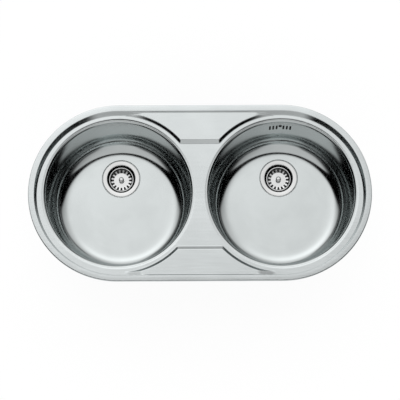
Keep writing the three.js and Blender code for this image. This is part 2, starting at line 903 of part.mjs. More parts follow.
// Ribbed hose: down from the housing, round one bend, forward to the waste.
function overflowHose() {
  const start = housingLow - hose.topGap;
  const end = drainY + bodyFlangeRadius + hose.flangeGap;
  const down = start - (inletLevel + hose.bend);
  const turn = (Math.PI / 2) * hose.bend;
  const total = down + turn + (pipeY - hose.bend - end);

  const ringAt = (s, radius) => {
    const angle = THREE.MathUtils.clamp((s - down) / hose.bend, 0, Math.PI / 2);
    const ahead = Math.max(s - down - turn, 0);
    const y = pipeY - hose.bend * (1 - Math.cos(angle)) - ahead;
    const z = start - Math.min(s, down) - hose.bend * Math.sin(angle);
    return Array.from({ length: hose.sides }, (_, i) => {
      const a = (-2 * Math.PI * (i + 0.5)) / hose.sides;
      const across = radius * Math.sin(a);
      return [radius * Math.cos(a), y + across * Math.cos(angle), z - across * Math.sin(angle)];
    });
  };

  const ribs = Math.floor((total - 2 * hose.cuff) / hose.pitch);
  const first = (total - ribs * hose.pitch) / 2;
  const rings = [ringAt(0, hoseValley)];
  for (let i = 0; i < ribs; i += 1) {
    rings.push(ringAt(first + i * hose.pitch, hoseValley));
    rings.push(ringAt(first + (i + 0.5) * hose.pitch, hoseCrest));
  }
  rings.push(ringAt(total - first, hoseValley), ringAt(total, hoseValley));
  const boreSteps = Math.ceil(total / (2 * hose.pitch));
  for (let i = boreSteps; i >= 0; i -= 1) {
    rings.push(ringAt((total * i) / boreSteps, hoseBore));
  }
  return fromRings(rings, ringFaces(rings.length, hose.sides, true));
}

function makeOverflow() {
  const group = new THREE.Group();
  group.position.x = bowlX;
  group.add(
    piece('overflow_gasket', overflowGasket(), finishes.rubber),
    piece('overflow_housing', overflowHousing(), finishes.plastic),
    piece('overflow_screw', overflowScrew(), finishes.fastener),
    piece('overflow_hose', overflowHose(), finishes.hose),
  );
  return group;
}

// ---------------------------------------------------------------- rails and clips

// Hook-shaped rail welded under the deck, as [distance from the centre line, z] points.
function railProfile(top) {
  const t = rail.thickness;
  const low = -rail.depth;
  return [
    [railInner, top],
    [railInner, low],
    [railLip, low],
    [railLip, low + rail.lipHeight],
    [railLip - t, low + rail.lipHeight],
    [railLip - t, low + t],
    [railInner + t, low + t],
    [railInner + t, top],
  ];
}

function makeRails() {
  const group = new THREE.Group();
  const straight = railProfile(deck.panelLevel - sheet - stackGap);
  for (const [name, turn] of [
    ['back_rail', Math.PI / 2],
    ['front_rail', -Math.PI / 2],
  ]) {
    const mesh = piece(name, alongY(straight, -railHalf, railHalf), finishes.bracket);
    mesh.rotation.z = turn;
    group.add(mesh);
  }
  const reach = endRadius;
  const wedge = loft(
    [-2 * rail.depth, rail.depth].map((z) => [
      [
        point(0, 0),
        point(reach * Math.cos(railArc), -reach * Math.sin(railArc)),
        point(1.5 * reach, 0),
        point(reach * Math.cos(railArc), reach * Math.sin(railArc)),
      ],
      z,
    ]),
  );
  const curved = railProfile(deck.ledgeLevel - sheet - stackGap);
  const bend = turned(curved, 48).intersect(wedge);
  for (const [name, side] of [
    ['right_rail', 1],
    ['left_rail', -1],
  ]) {
    const mesh = piece(name, bend, finishes.bracket);
    mesh.position.x = side * bowlX;
    mesh.rotation.z = side > 0 ? 0 : Math.PI;
    group.add(mesh);
  }
  return group;
}

// Bent strip that hooks over the rail's lip, with a threaded tab for the screw.
function clipBracket() {
  const t = clip.thickness;
  const hookUnder = -rail.depth + rail.lipHeight + fitGap;
  const hookEnd = -rail.depth + rail.thickness + clip.hookGap;
  const legOuter = railLip - rail.thickness - clip.hookGap;
  const outer = clipScrewAt + clip.tabPast;
  const low = clipHeadTop - clip.headHeight - clip.webPast;
  const strip = alongY(
    [
      [webInner, low],
      [webOuter, low],
      [webOuter, tabTop - t],
      [outer, tabTop - t],
      [outer, tabTop],
      [webOuter, tabTop],
      [webOuter, hookUnder + t],
      [legOuter - t, hookUnder + t],
      [legOuter - t, hookEnd],
      [legOuter, hookEnd],
      [legOuter, hookUnder],
      [webInner, hookUnder],
    ],
    -clip.width / 2,
    clip.width / 2,
  );
  return strip.subtract(rod(clipScrewHole, tabTop - 2 * t, tabTop + t, 8, clipScrewAt));
}

// Hexagon screw: it threads up into the tab and its head carries the jaw.
function clipScrew() {
  return rod(clipHead, clipHeadTop - clip.headHeight, clipHeadTop, 6).add(
    rod(clip.screwRadius, clipHeadTop - 1, tabTop + clip.screwPast, 8),
  );
}

// Jaw that the screw's head lifts against the worktop's underside.
function clipJaw() {
  const t = clip.jawThickness;
  const top = -clip.jawTop;
  const plate = top - clip.jawStep;
  const inner = webOuter + fitGap;
  const outer = endRadius - clip.jawInset;
  const padInner = outer - clip.jawPad;
  const stepStart = padInner - clip.jawStepRun;
  const outline = [
    [inner, plate - t],
    [stepStart + t / 2, plate - t],
    [padInner + t / 2, top - t],
    [outer, top - t],
    [outer, top],
    [padInner, top],
    [stepStart, plate],
    [inner, plate],
  ];
  const hole = rod(clipScrewHole, plate - 2 * t, plate + t, 8, clipScrewAt);
  return alongY(outline, -clip.width / 2, clip.width / 2).subtract(hole);
}

function makeClips() {
  const group = new THREE.Group();
  const quarter = Math.PI / 2;
  const straight = railHalf - clip.railInset;
  const places = [
    ['back_left_clip', -straight, quarter],
    ['back_right_clip', straight, quarter],
    ['front_left_clip', -straight, -quarter],
    ['front_right_clip', straight, -quarter],
    ['right_back_clip', bowlX, clip.endAngle],
    ['right_front_clip', bowlX, -clip.endAngle],
    ['left_back_clip', -bowlX, Math.PI - clip.endAngle],
    ['left_front_clip', -bowlX, Math.PI + clip.endAngle],
  ];
  for (const [name, x, turn] of places) {
    const one = new THREE.Group();
    one.position.x = x;
    one.rotation.z = turn;
    const screw = piece(`${name}_screw`, clipScrew(), finishes.fastener);
    screw.position.x = clipScrewAt;
    one.add(
      piece(`${name}_bracket`, clipBracket(), finishes.bracket),
      screw,
      piece(`${name}_jaw`, clipJaw(), finishes.bracket),
    );
    group.add(one);
  }
  return group;
}

// ---------------------------------------------------------------- assembly

const sink = new THREE.Group();
sink.add(
  makeDeck(),
  makeEdgeSeal(),
  makeBowl('left_bowl', -1),
  makeBowl('right_bowl', 1),
  makeSoundPad('left_sound_pad', -1),
  makeSoundPad('right_sound_pad', 1),
  makeWaste('left', -1),
  makeWaste('right', 1),
  makeOverflow(),
  makeRails(),
  makeClips(),
);

export default sink;
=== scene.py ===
"""Looks of the double bowl kitchen sink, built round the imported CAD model. Sizes are in millimetres
until a mesh is made, and Blender's units are metres."""

import math

import bmesh
import bpy
import numpy as np
from mathutils import Matrix, Vector
from mathutils.geometry import delaunay_2d_cdt


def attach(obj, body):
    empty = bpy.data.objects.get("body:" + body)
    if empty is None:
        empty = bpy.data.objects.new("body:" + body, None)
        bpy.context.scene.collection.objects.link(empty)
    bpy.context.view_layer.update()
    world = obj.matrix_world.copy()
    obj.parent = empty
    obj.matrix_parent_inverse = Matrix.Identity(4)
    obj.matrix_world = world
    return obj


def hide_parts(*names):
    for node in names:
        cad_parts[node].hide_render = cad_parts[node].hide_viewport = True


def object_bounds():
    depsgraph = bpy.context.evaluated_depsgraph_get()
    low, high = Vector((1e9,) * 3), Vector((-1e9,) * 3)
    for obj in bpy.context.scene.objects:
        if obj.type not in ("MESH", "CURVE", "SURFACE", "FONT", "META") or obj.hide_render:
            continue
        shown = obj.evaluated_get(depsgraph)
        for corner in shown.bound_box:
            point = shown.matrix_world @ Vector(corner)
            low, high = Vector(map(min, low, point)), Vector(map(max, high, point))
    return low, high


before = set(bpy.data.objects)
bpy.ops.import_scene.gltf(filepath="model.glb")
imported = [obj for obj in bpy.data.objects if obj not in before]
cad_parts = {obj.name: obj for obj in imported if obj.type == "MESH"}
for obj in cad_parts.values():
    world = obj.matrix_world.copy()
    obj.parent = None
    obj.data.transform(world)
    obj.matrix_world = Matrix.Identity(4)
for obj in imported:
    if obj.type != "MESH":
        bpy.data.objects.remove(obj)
cad_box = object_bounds()
MM = 0.001
SIDES = {"left": -1, "right": 1}

# ---- sizes
#
# They are the CAD source's, apart from CROWN and PANEL_BEVEL, which are less here.

THICK = 1.0  # sheet of deck and bowls
BOWL_X = 200.0  # the bowls and the half-round ends share their centres
END_RADIUS = 220.0
RIM_TOP = 4.0
BORDER_INNER = 205.0
CROWN = 0.03  # slope of the border's outer CROWN_WIDTH
CROWN_WIDTH = 10.0
BEVEL_FOOT = 199.5
BEVEL_WIDTH = BORDER_INNER - BEVEL_FOOT
BEVEL_SHIFT = -3.2  # the bevel's foot lies nearer the front
LEDGE = -6.0
BOWL_RADIUS = 185.0
PANEL_RADIUS = 196.0  # foot of a panel's curved edge, from the bowl's centre
PANEL_BEVEL = 3.0  # width of the slope from the border down to a panel
PANEL_END = 165.0
CENTRE_BACK = 124.5  # feet of the panels' straight edges
CENTRE_FRONT = -132.5
CENTRE_SLOPE = 4 / 3  # width of those edges for each millimetre of height
TAPER = math.radians(4)
LIP = (184.8, -12.0, 6.0)  # r, z and radius of the fillet under a bowl's lip
FLOOR_FILLET = (131.066, -121.0, 40.0)  # and of the one round its floor
FLOOR = -161.0
DRAIN_Y = 70.866
OVERFLOW_Z = -48.0  # middle of the overflow's slots
SLOT_HEIGHT = 29.0
SLOT_WIDTH = 4.6
SLOT_PITCH = 8.5
SCREW_RISE = 10.0  # overflow screw above that middle
SCREW_HOLE = 5.2

# ---- camera

scene = bpy.context.scene
ELEVATION = math.radians(78.0)
ROLL = math.radians(-0.25)
DISTANCE = 4.2
LENS = 155.0
AIM = Vector((0.0, -0.019, 0.0))

camera = bpy.data.objects.new("camera", bpy.data.cameras.new("camera"))
scene.collection.objects.link(camera)
camera.location = AIM + DISTANCE * Vector((0, -math.cos(ELEVATION), math.sin(ELEVATION)))
look = (AIM - camera.location).to_track_quat("-Z", "Y").to_matrix().to_4x4()
camera.matrix_world = Matrix.Translation(camera.location) @ look @ Matrix.Rotation(ROLL, 4, "Z")
camera.data.lens = LENS
camera.data.clip_end = 500.0
scene.camera = camera

# ---- nodes and materials


class Graph:
    """Shorthand for building a node tree."""

    def __init__(self, tree):
        self.tree = tree
        tree.nodes.clear()

    def add(self, kind, sockets=None, **settings):
        made = self.tree.nodes.new(kind)
        for key, value in settings.items():
            setattr(made, key, value)
        for key, value in (sockets or {}).items():
            self.put(made.inputs[key], value)
        return made

    def put(self, socket, value):
        if isinstance(value, bpy.types.NodeSocket):
            self.tree.links.new(value, socket)
        else:
            socket.default_value = value

    def math(self, operation, a, b=0.0, c=0.0):
        return self.add("ShaderNodeMath", {0: a, 1: b, 2: c}, operation=operation).outputs[0]

    def plus(self, a, b):
        return self.math("ADD", a, b)

    def minus(self, a, b):
        return self.math("SUBTRACT", a, b)

    def times(self, a, b):
        return self.math("MULTIPLY", a, b)

    def greater(self, a, b):
        return self.math("MAXIMUM", a, b)

    def vector(self, operation, a, b=(0, 0, 0)):
        return self.add("ShaderNodeVectorMath", {0: a, 1: b}, operation=operation).outputs[0]

    def parts(self, vector):
        return self.add("ShaderNodeSeparateXYZ", {0: vector}).outputs

    def joined(self, x, y, z):
        return self.add("ShaderNodeCombineXYZ", {0: x, 1: y, 2: z}).outputs[0]

    def ramp(self, value, low, high, to_low=0.0, to_high=1.0):
        """Smooth step of a value from low..high to to_low..to_high."""
        span = {"From Min": low, "From Max": high, "To Min": to_low, "To Max": to_high}
        kind = "ShaderNodeMapRange"
        made = self.add(kind, {"Value": value, **span}, interpolation_type="SMOOTHSTEP")
        return made.outputs["Result"]

    def curve(self, cosine, stops):
        """Brightness from stops of (direction cosine, brightness)."""
        share = self.math("MULTIPLY_ADD", cosine, 0.5, 0.5)
        made = self.add("ShaderNodeValToRGB", {"Fac": share})
        elements = made.color_ramp.elements
        elements.remove(elements[1])
        for i, (at, level) in enumerate(stops):
            place = at * 0.5 + 0.5
            element = elements.new(place) if i else elements[0]
            element.position = place
            element.color = (level, level, level, 1.0)
        return made.outputs["Color"]

    def noise(self, vector, scale=1.0, detail=2.0):
        kind = "ShaderNodeTexNoise"
        made = self.add(kind, {"Vector": vector, "Scale": scale, "Detail": detail})
        return made.outputs["Fac"]

    def mix(self, factor, a, b):
        made = self.add("ShaderNodeMix", data_type="RGBA")
        self.put(made.inputs["Factor"], factor)
        self.put(made.inputs["A"], a)
        self.put(made.inputs["B"], b)
        return made.outputs["Result"]

    def object_point(self):
        return self.add("ShaderNodeTexCoord").outputs["Object"]

    def edges(self, low, high):
        """Where convex edges are rubbed."""
        pointed = self.add("ShaderNodeNewGeometry").outputs["Pointiness"]
        return self.ramp(pointed, low, high)

    def bump(self, height, strength, distance):
        kind = "ShaderNodeBump"
        made = self.add(kind, {"Height": height, "Strength": strength, "Distance": distance})
        return made.outputs["Normal"]


MIDDLE = (0.3, 0.7)  # where most of a noise's values lie
METAL_DEPTH, MOULD_DEPTH = 0.0002, 0.0003  # of the grain, in metres


def rgba(colour, share=1.0):
    """A colour, or a darker one that is a share of it."""
    return (*(share * c for c in colour), 1.0)


def material(name, metallic, build):
    """A material with the colour, roughness and normal that build(graph) returns."""
    made = bpy.data.materials.new(name)
    made.use_nodes = True
    graph = Graph(made.node_tree)
    shader = graph.add("ShaderNodeBsdfPrincipled", {"Metallic": metallic})
    for key, value in zip(("Base Color", "Roughness", "Normal"), build(graph)):
        graph.put(shader.inputs[key], value)
    graph.add("ShaderNodeOutputMaterial", {"Surface": shader.outputs[0]})
    return made


def straight_grain(across, along):
    """Fine grain that runs along X, with broad patches over it."""

    def build(graph):
        at = graph.object_point()
        grain = graph.noise(graph.vector("MULTIPLY", at, (along, across, across)), detail=3.0)
        return at, grain, graph.noise(at, scale=9.0)

    return build


def round_grain(across, along):
    """Fine grain that runs round the object's own Z axis, with broad patches over it."""

    def build(graph):
        at = graph.object_point()
        x, y, z = graph.parts(at)
        flat = graph.joined(x, y, 0.0)
        radius = graph.add("ShaderNodeVectorMath", {0: flat}, operation="LENGTH").outputs["Value"]
        level = graph.minus(radius, z)
        turn = graph.parts(graph.vector("NORMALIZE", flat))
        where = [graph.times(part, along) for part in turn[:2]] + [graph.times(level, across)]
        grain = graph.noise(graph.joined(*where), detail=3.0)
        return at, grain, graph.noise(at, scale=11.0)

    return build


# near-black colour of the painted shade that darkens the steel in its recesses
PAINTED_SHADE = (0.05, 0.05, 0.05)
SHADE_WANDER = 0.0003  # by how much the painted shade's edge wanders, in metres
# height over which the painted shade fades out at its lower end
SHADE_FADE = 0.0004


def steel(name, colour, roughness, grain, spread, relief=0.06, shade_heights=None, unshaded_below=-1.0):
    """Brushed steel. An optional pair of [unshaded, dark] heights paints shade on it, darkening downwards
    between them, and the painted shade can end again at a lower height, all in metres."""

    def build(graph):
        at, fine, patches = grain(graph)
        shade = graph.mix(graph.ramp(patches, *MIDDLE), rgba(colour, 0.93), rgba(colour))
        # painted shade: near-black blended in below the upper height, with a wandering edge, fading out at
        # the lower end
        if shade_heights:
            unshaded, dark = shade_heights
            wander = graph.noise(at, scale=90.0, detail=3.0)
            height = graph.plus(graph.parts(at)[2], graph.ramp(wander, *MIDDLE, -SHADE_WANDER, SHADE_WANDER))
            lower = graph.ramp(height, unshaded_below + SHADE_FADE, unshaded_below)
            shade = graph.mix(graph.plus(graph.ramp(height, dark, unshaded), lower), rgba(PAINTED_SHADE), shade)
        rough = graph.plus(
            graph.ramp(fine, *MIDDLE, roughness - spread, roughness + spread),
            graph.ramp(patches, *MIDDLE, -spread / 3, spread / 3),
        )
        return shade, rough, graph.bump(fine, relief, METAL_DEPTH)

    return material(name, 1.0, build)


def matt(name, colour, roughness, dust, scale=500.0, relief=0.08):
    """Rubber or plastic: mottled colour, moulded grain, paler where edges are rubbed."""

    def build(graph):
        at = graph.object_point()
        fine = graph.noise(at, scale=scale, detail=4.0)
        broad = graph.noise(at, scale=22.0, detail=3.0)
        pale = [min(c * 1.25 + 0.04, 0.92) for c in colour]
        shade = graph.mix(graph.ramp(broad, 0.35, 0.7), rgba(colour, 1 - dust), rgba(colour))
        shade = graph.mix(graph.times(graph.edges(0.52, 0.6), 0.6), shade, rgba(pale))
        rough = graph.plus(
            graph.ramp(fine, *MIDDLE, roughness - 0.07, roughness + 0.07),
            graph.ramp(broad, *MIDDLE, -0.05, 0.05),
        )
        return shade, rough, graph.bump(fine, relief, MOULD_DEPTH)

    return material(name, 0.0, build)


def plated(name, colour, roughness, spangle):
    """Coated steel: patches of crystals, dulled here and there and bright on rubbed edges."""

    def build(graph):
        at = graph.object_point()
        cells = graph.add("ShaderNodeTexVoronoi", {"Vector": at, "Scale": spangle}).outputs["Color"]
        cell = graph.add("ShaderNodeSeparateColor", {0: cells}).outputs[0]
        fine = graph.noise(at, scale=900.0, detail=3.0)
        broad = graph.noise(at, scale=30.0, detail=4.0)
        shade = graph.mix(cell, rgba(colour, 0.82), rgba(colour))
        shade = graph.mix(graph.ramp(broad, 0.55, 0.8, 0.0, 0.5), shade, rgba(colour, 0.6))
        shade = graph.mix(graph.times(graph.edges(0.51, 0.58), 0.5), shade, rgba(RUBBED))
        rough = graph.plus(
            graph.ramp(cell, 0.0, 1.0, roughness - 0.07, roughness + 0.07),
            graph.ramp(broad, 0.4, 0.8, 0.0, 0.15),
        )
        return shade, rough, graph.bump(fine, 0.05, METAL_DEPTH)

    return material(name, 1.0, build)


RUBBED = (0.85, 0.85, 0.86)
DECK_GRAIN, BOWL_GRAIN = straight_grain(240, 12), round_grain(140, 2.0)
FINE_GRAIN = round_grain(700, 3)
POLISHED = (0.78, 0.785, 0.785)
# heights of the painted shade inside the cup and on the basket's steep wall, in metres
CUP_SHADE = (-0.003, -0.006)
BASKET_SHADE = (-0.0078, -0.0086)

DECK = steel("deck_steel", (0.705, 0.74, 0.743), 0.16, DECK_GRAIN, 0.03, relief=0.01)
BOWL = steel("bowl_steel", (0.685, 0.722, 0.722), 0.11, BOWL_GRAIN, 0.02, relief=0.006)
# the cup's steel has painted shade inside the cup
CUP = steel("cup_steel", (0.78, 0.785, 0.78), 0.10, FINE_GRAIN, 0.03, shade_heights=CUP_SHADE)
SCREW = plated("blackened_steel", (0.06, 0.06, 0.065), 0.4, 500)
BASKET = steel("basket_steel", POLISHED, 0.13, FINE_GRAIN, 0.03)
# the basket's steel has painted shade on its steep wall, drawn as a dark ring
STRAINER = steel(
    "strainer_steel", POLISHED, 0.13, FINE_GRAIN, 0.03, shade_heights=BASKET_SHADE, unshaded_below=-0.0174
)
FASTENER = plated("zinc_plate", (0.66, 0.665, 0.66), 0.3, 400)
BRACKET = plated("galvanised", (0.62, 0.63, 0.64), 0.38, 140)
RUBBER = matt("black_rubber", (0.035, 0.035, 0.037), 0.62, 0.3, scale=300, relief=0.2)
GASKET = matt("foam_rubber", (0.085, 0.085, 0.09), 0.85, 0.3, scale=1400, relief=0.5)
PLASTIC = matt("moulded_plastic", (0.055, 0.056, 0.058), 0.42, 0.2)
HOSE = matt("hose_plastic", (0.58, 0.59, 0.58), 0.45, 0.12)
PAD = matt("bitumen_pad", (0.1, 0.1, 0.105), 0.8, 0.3, scale=800, relief=0.6)

# ---- world and floor

# Stops of (direction cosine, brightness) of the studio's upper and lower panels.
UPPER_ALONG = [
    (-1.0, 0.85), (0.0, 0.85), (0.15, 0.97), (0.25, 1.05), (0.35, 1.25), (0.45, 1.38),
    (0.55, 1.38), (0.65, 1.2), (0.75, 0.98), (0.85, 0.78), (0.95, 0.62), (1.0, 0.5),
]
UPPER_ACROSS = [
    (-1.0, 0.0), (-0.94, 0.08), (-0.81, 0.26), (-0.69, 0.42), (-0.56, 0.55), (-0.44, 0.72),
    (-0.31, 0.92), (-0.19, 1.02), (-0.06, 1.0), (0.06, 0.93), (0.19, 0.73), (0.31, 0.58),
    (0.44, 0.5), (0.56, 0.43), (0.69, 0.33), (0.81, 0.12), (0.94, 0.02), (1.0, 0.0),
]
LOWER_ALONG = [(-1.0, 0.46), (-0.94, 0.6), (-0.85, 0.64), (1.0, 0.64)]
LOWER_ACROSS = [
    (-1.0, 0.0), (-0.81, 0.02), (-0.69, 0.27), (-0.56, 0.85), (-0.44, 0.95), (-0.31, 1.0),
    (0.06, 1.0), (0.19, 0.95), (0.31, 0.87), (0.44, 0.72), (0.56, 0.58), (0.69, 0.2),
    (0.81, 0.02), (1.0, 0.0),
]
# The panels' inner edges, and by how much they slant away towards the sides.
UPPER_EDGE, UPPER_SLANT, SLANT_FROM = (0.02, 0.13), 0.3, 0.25
LOWER_EDGE, LOWER_SLANT = (0.03, 0.1), 0.32
CORNER_ASIDE, CORNER_HEIGHT = (0.25, 0.45), (0.35, 0.65)
GROUND, HORIZON = 0.8, (-0.06, 0.0)  # grey below the horizon, and where it fades


def build_world():
    """A studio with a broad panel above and behind and a weaker one in front. It is black between
    them, at the sides and in the low corners."""
    world = bpy.data.worlds.new("studio")
    scene.world = world
    world.use_nodes = True
    graph = Graph(world.node_tree)
    x, y, z = graph.parts(graph.add("ShaderNodeTexCoord").outputs["Generated"])
    aside = graph.math("ABSOLUTE", x)

    above = graph.times(graph.curve(y, UPPER_ALONG), graph.curve(x, UPPER_ACROSS))
    slant = graph.times(graph.greater(graph.minus(aside, SLANT_FROM), 0.0), UPPER_SLANT)
    above = graph.times(above, graph.ramp(graph.minus(y, slant), *UPPER_EDGE))
    ahead = graph.times(graph.curve(y, LOWER_ALONG), graph.curve(x, LOWER_ACROSS))
    depth = graph.minus(graph.times(y, -1.0), graph.times(aside, LOWER_SLANT))
    ahead = graph.times(ahead, graph.ramp(depth, *LOWER_EDGE))
    low = graph.ramp(z, *CORNER_HEIGHT, 1.0, 0.0)
    corner = graph.times(graph.ramp(aside, *CORNER_ASIDE), low)
    level = graph.times(graph.plus(above, ahead), graph.minus(1.0, corner))
    level = graph.greater(level, graph.ramp(z, *HORIZON, GROUND, 0.0))
    studio = graph.add("ShaderNodeBackground", {"Color": level, "Strength": 1.0})
    graph.add("ShaderNodeOutputWorld", {"Surface": studio.outputs[0]})


FLOOR_HALF = 60.0  # metres
FLOOR_GAP = 0.0005
FLOOR_GLOW = 0.92  # share of the floor's look that is plain white; the rest holds the shadow


def build_floor():
    size, level = FLOOR_HALF, cad_box[0][2] - FLOOR_GAP
    mesh = bpy.data.meshes.new("floor")
    corners = [(-size, -size, level), (size, -size, level), (size, size, level), (-size, size, level)]
    mesh.from_pydata(corners, [], [(0, 1, 2, 3)])
    floor = bpy.data.objects.new("floor", mesh)
    scene.collection.objects.link(floor)
    made = bpy.data.materials.new("floor_white")
    made.use_nodes = True
    made.cycles.emission_sampling = "NONE"
    graph = Graph(made.node_tree)
    plain = graph.add("ShaderNodeBsdfDiffuse", {"Color": (0.9, 0.9, 0.9, 1.0)})
    glow = graph.add("ShaderNodeEmission", {"Color": (1, 1, 1, 1), "Strength": 1.0})
    path = graph.add("ShaderNodeLightPath").outputs
    mirrored = graph.greater(path["Is Glossy Ray"], path["Is Transmission Ray"])
    share = graph.times(graph.greater(path["Is Camera Ray"], mirrored), FLOOR_GLOW)
    mixed = graph.add("ShaderNodeMixShader", {0: share, 1: plain.outputs[0], 2: glow.outputs[0]})
    graph.add("ShaderNodeOutputMaterial", {"Surface": mixed.outputs[0]})
    mesh.materials.append(made)


# [azimuth, elevation, strength]
LAMPS = ((0, 90, 1.0), (35, 35, 0.6), (145, 35, 0.6), (215, 35, 0.6), (325, 35, 0.6))
LAMP_ANGLE = 50


def build_lamps():
    """Soft light for what isn't metal: one lamp above and four round about. Steel shows the studio
    alone, so they are left out of its reflections."""
    for azimuth, elevation, strength in LAMPS:
        lamp = bpy.data.lights.new(f"lamp_{azimuth}", "SUN")
        lamp.energy = strength
        lamp.angle = math.radians(LAMP_ANGLE)
        made = bpy.data.objects.new(lamp.name, lamp)
        made.rotation_euler = (math.radians(90 - elevation), 0, math.radians(azimuth))
        made.visible_glossy = False
        scene.collection.objects.link(made)


build_world()
build_floor()
build_lamps()
scene.view_settings.view_transform = "Standard"

# ---- mesh helpers

NORMAL_STEP = 0.02
SMOOTH_ANGLE = 35.0
ON_AXIS = 1e-6


def put(name, mesh, look, body, node, place=(0, 0, 0)):
    """Links a mesh given in millimetres about a place, with its material, body and CAD node."""
    mesh.transform(Matrix.Scale(MM, 4))
    mesh.materials.append(look)
    made = bpy.data.objects.new(name, mesh)
    scene.collection.objects.link(made)
    made.location = Vector(place) * MM
    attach(made, body)
    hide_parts(node)
    return made


def smin(a, b, k):
    """The lesser of two surfaces, blended over a width k."""
    h = np.maximum(k - np.abs(a - b), 0) / k
    return np.minimum(a, b) - h * h * k / 4


def smax(a, b, k):
    return -smin(-a, -b, k)


def normals_of(place, plan):
    """Unit normals of the surface place(plan), by central differences."""
    du = place(plan + [NORMAL_STEP, 0]) - place(plan - [NORMAL_STEP, 0])
    dv = place(plan + [0, NORMAL_STEP]) - place(plan - [0, NORMAL_STEP])
    n = np.cross(du, dv)
    return n / np.linalg.norm(n, axis=1)[:, None]


def rim_edges(tris):
    """Edges that only one triangle has, in that triangle's direction."""
    found = {}
    for tri in tris.tolist():
        for i in range(3):
            edge = (tri[i], tri[(i + 1) % 3])
            found[frozenset(edge)] = None if frozenset(edge) in found else edge
    return np.array([e for e in found.values() if e])


def skin(name, curves, keep, place, thickness, flip=False):
    """A sheet of even thickness over a plan: curves are [points, closed] lines that its triangles
    follow, keep(plan) says which triangles stay, and place(plan) puts them in space."""
    points, edges = [], []
    for line, closed in curves:
        first = len(points)
        points.extend(line)
        edges.extend((first + i, first + i + 1) for i in range(len(line) - 1))
        if closed:
            edges.append((len(points) - 1, first))
    found = delaunay_2d_cdt([Vector(p) for p in points], edges, [], 0, 1e-5)
    plan = np.array([tuple(v) for v in found[0]])
    tris = np.array([f for f in found[2] if len(f) == 3])
    tris = tris[keep(plan[tris].mean(1))]
    used, tris = np.unique(tris, return_inverse=True)
    plan, tris = plan[used], tris.reshape(-1, 3)
    outside = place(plan)
    normal = normals_of(place, plan) * (-1 if flip else 1)
    inside = outside - thickness * normal
    a, b, c = (outside[tris[:, i]] for i in range(3))
    facing = (np.cross(b - a, c - a) * normal[tris[:, 0]]).sum(1)
    tris[facing < 0] = tris[facing < 0][:, ::-1]

    start, end = rim_edges(tris).T
    walls = np.stack([outside[end], outside[start], inside[start], inside[end]], 1)
    total = len(outside)
    verts = np.concatenate([outside, inside, walls.reshape(-1, 3)])
    quads = 2 * total + np.arange(4 * len(walls)).reshape(-1, 4)
    faces = tris.tolist() + (tris[:, ::-1] + total).tolist() + quads.tolist()
    wall_normal = np.cross(walls[:, 1] - walls[:, 0], walls[:, 3] - walls[:, 0])
    wall_normal /= np.maximum(np.linalg.norm(wall_normal, axis=1), 1e-9)[:, None]
    loops = np.concatenate(
        [normal[tris.ravel()], -normal[tris[:, ::-1].ravel()], np.repeat(wall_normal, 4, axis=0)]
    )
    mesh = bpy.data.meshes.new(name)
    mesh.from_pydata(verts.tolist(), [], faces)
    mesh.shade_smooth()
    mesh.normals_split_custom_set(loops.tolist())
    return mesh


def raised(height):
    """A place for skin() that puts a plan's points at their height(x, y)."""

    def place(plan):
        return np.column_stack([plan, height(plan[:, 0], plan[:, 1])])

    return place


def ring(radius, count, x=0.0, y=0.0, start=0.0, end=360.0):
    """Points on an arc in degrees; a whole circle leaves out its last point."""
    whole = end - start >= 360
    angles = np.radians(np.linspace(start, end, count, endpoint=not whole))
    return np.stack([x + radius * np.cos(angles), y + radius * np.sin(angles)], 1), whole


def level_line(start, end, count, y):
    """Points along X at one y."""
    return np.stack([np.linspace(start, end, count), np.full(count, y)], 1), False


def full_turn(count):
    return np.linspace(0, 2 * math.pi, count, endpoint=False)


def tidy(mesh, angle):
    """Welds doubles, turns faces outwards and shades smooth up to an angle."""
    work = bmesh.new()
    work.from_mesh(mesh)
    bmesh.ops.remove_doubles(work, verts=work.verts, dist=1e-4)
    bmesh.ops.dissolve_degenerate(work, edges=work.edges, dist=1e-5)
    bmesh.ops.recalc_face_normals(work, faces=work.faces)
    work.to_mesh(mesh)
    work.free()
    mesh.shade_smooth()
    mesh.set_sharp_from_angle(angle=math.radians(angle))


def turned(name, profile, segments):
    """Solid of revolution about Z from closed [r, z] points."""
    profile = np.array(profile, float)
    size = len(profile)
    turn = full_turn(segments)
    r, z = profile[:, 0], profile[:, 1]
    verts = np.stack(
        [np.outer(np.cos(turn), r), np.outer(np.sin(turn), r), np.tile(z, (segments, 1))], 2
    ).reshape(-1, 3)
    faces = []
    for s in range(segments):
        t = (s + 1) % segments
        for i in range(size):
            j = (i + 1) % size
            if r[i] < ON_AXIS and r[j] < ON_AXIS:
                continue
            faces.append([s * size + i, t * size + i, t * size + j, s * size + j])
    mesh = bpy.data.meshes.new(name)
    mesh.from_pydata(verts.tolist(), [], faces)
    tidy(mesh, SMOOTH_ANGLE)
    return mesh


def tube(name, rings, ends=False, angle=SMOOTH_ANGLE, closed=False):
    """A surface through rings of equally many points."""
    size, count = len(rings[0]), len(rings)
    faces = []
    for k in range(count if closed else count - 1):
        a, b = k * size, (k + 1) % count * size
        faces += [[a + i, a + (i + 1) % size, b + (i + 1) % size, b + i] for i in range(size)]
    if ends:
        faces += [list(range(size))[::-1], [(count - 1) * size + i for i in range(size)]]
    mesh = bpy.data.meshes.new(name)
    mesh.from_pydata(np.concatenate(rings).tolist(), [], faces)
    tidy(mesh, angle)
    return mesh


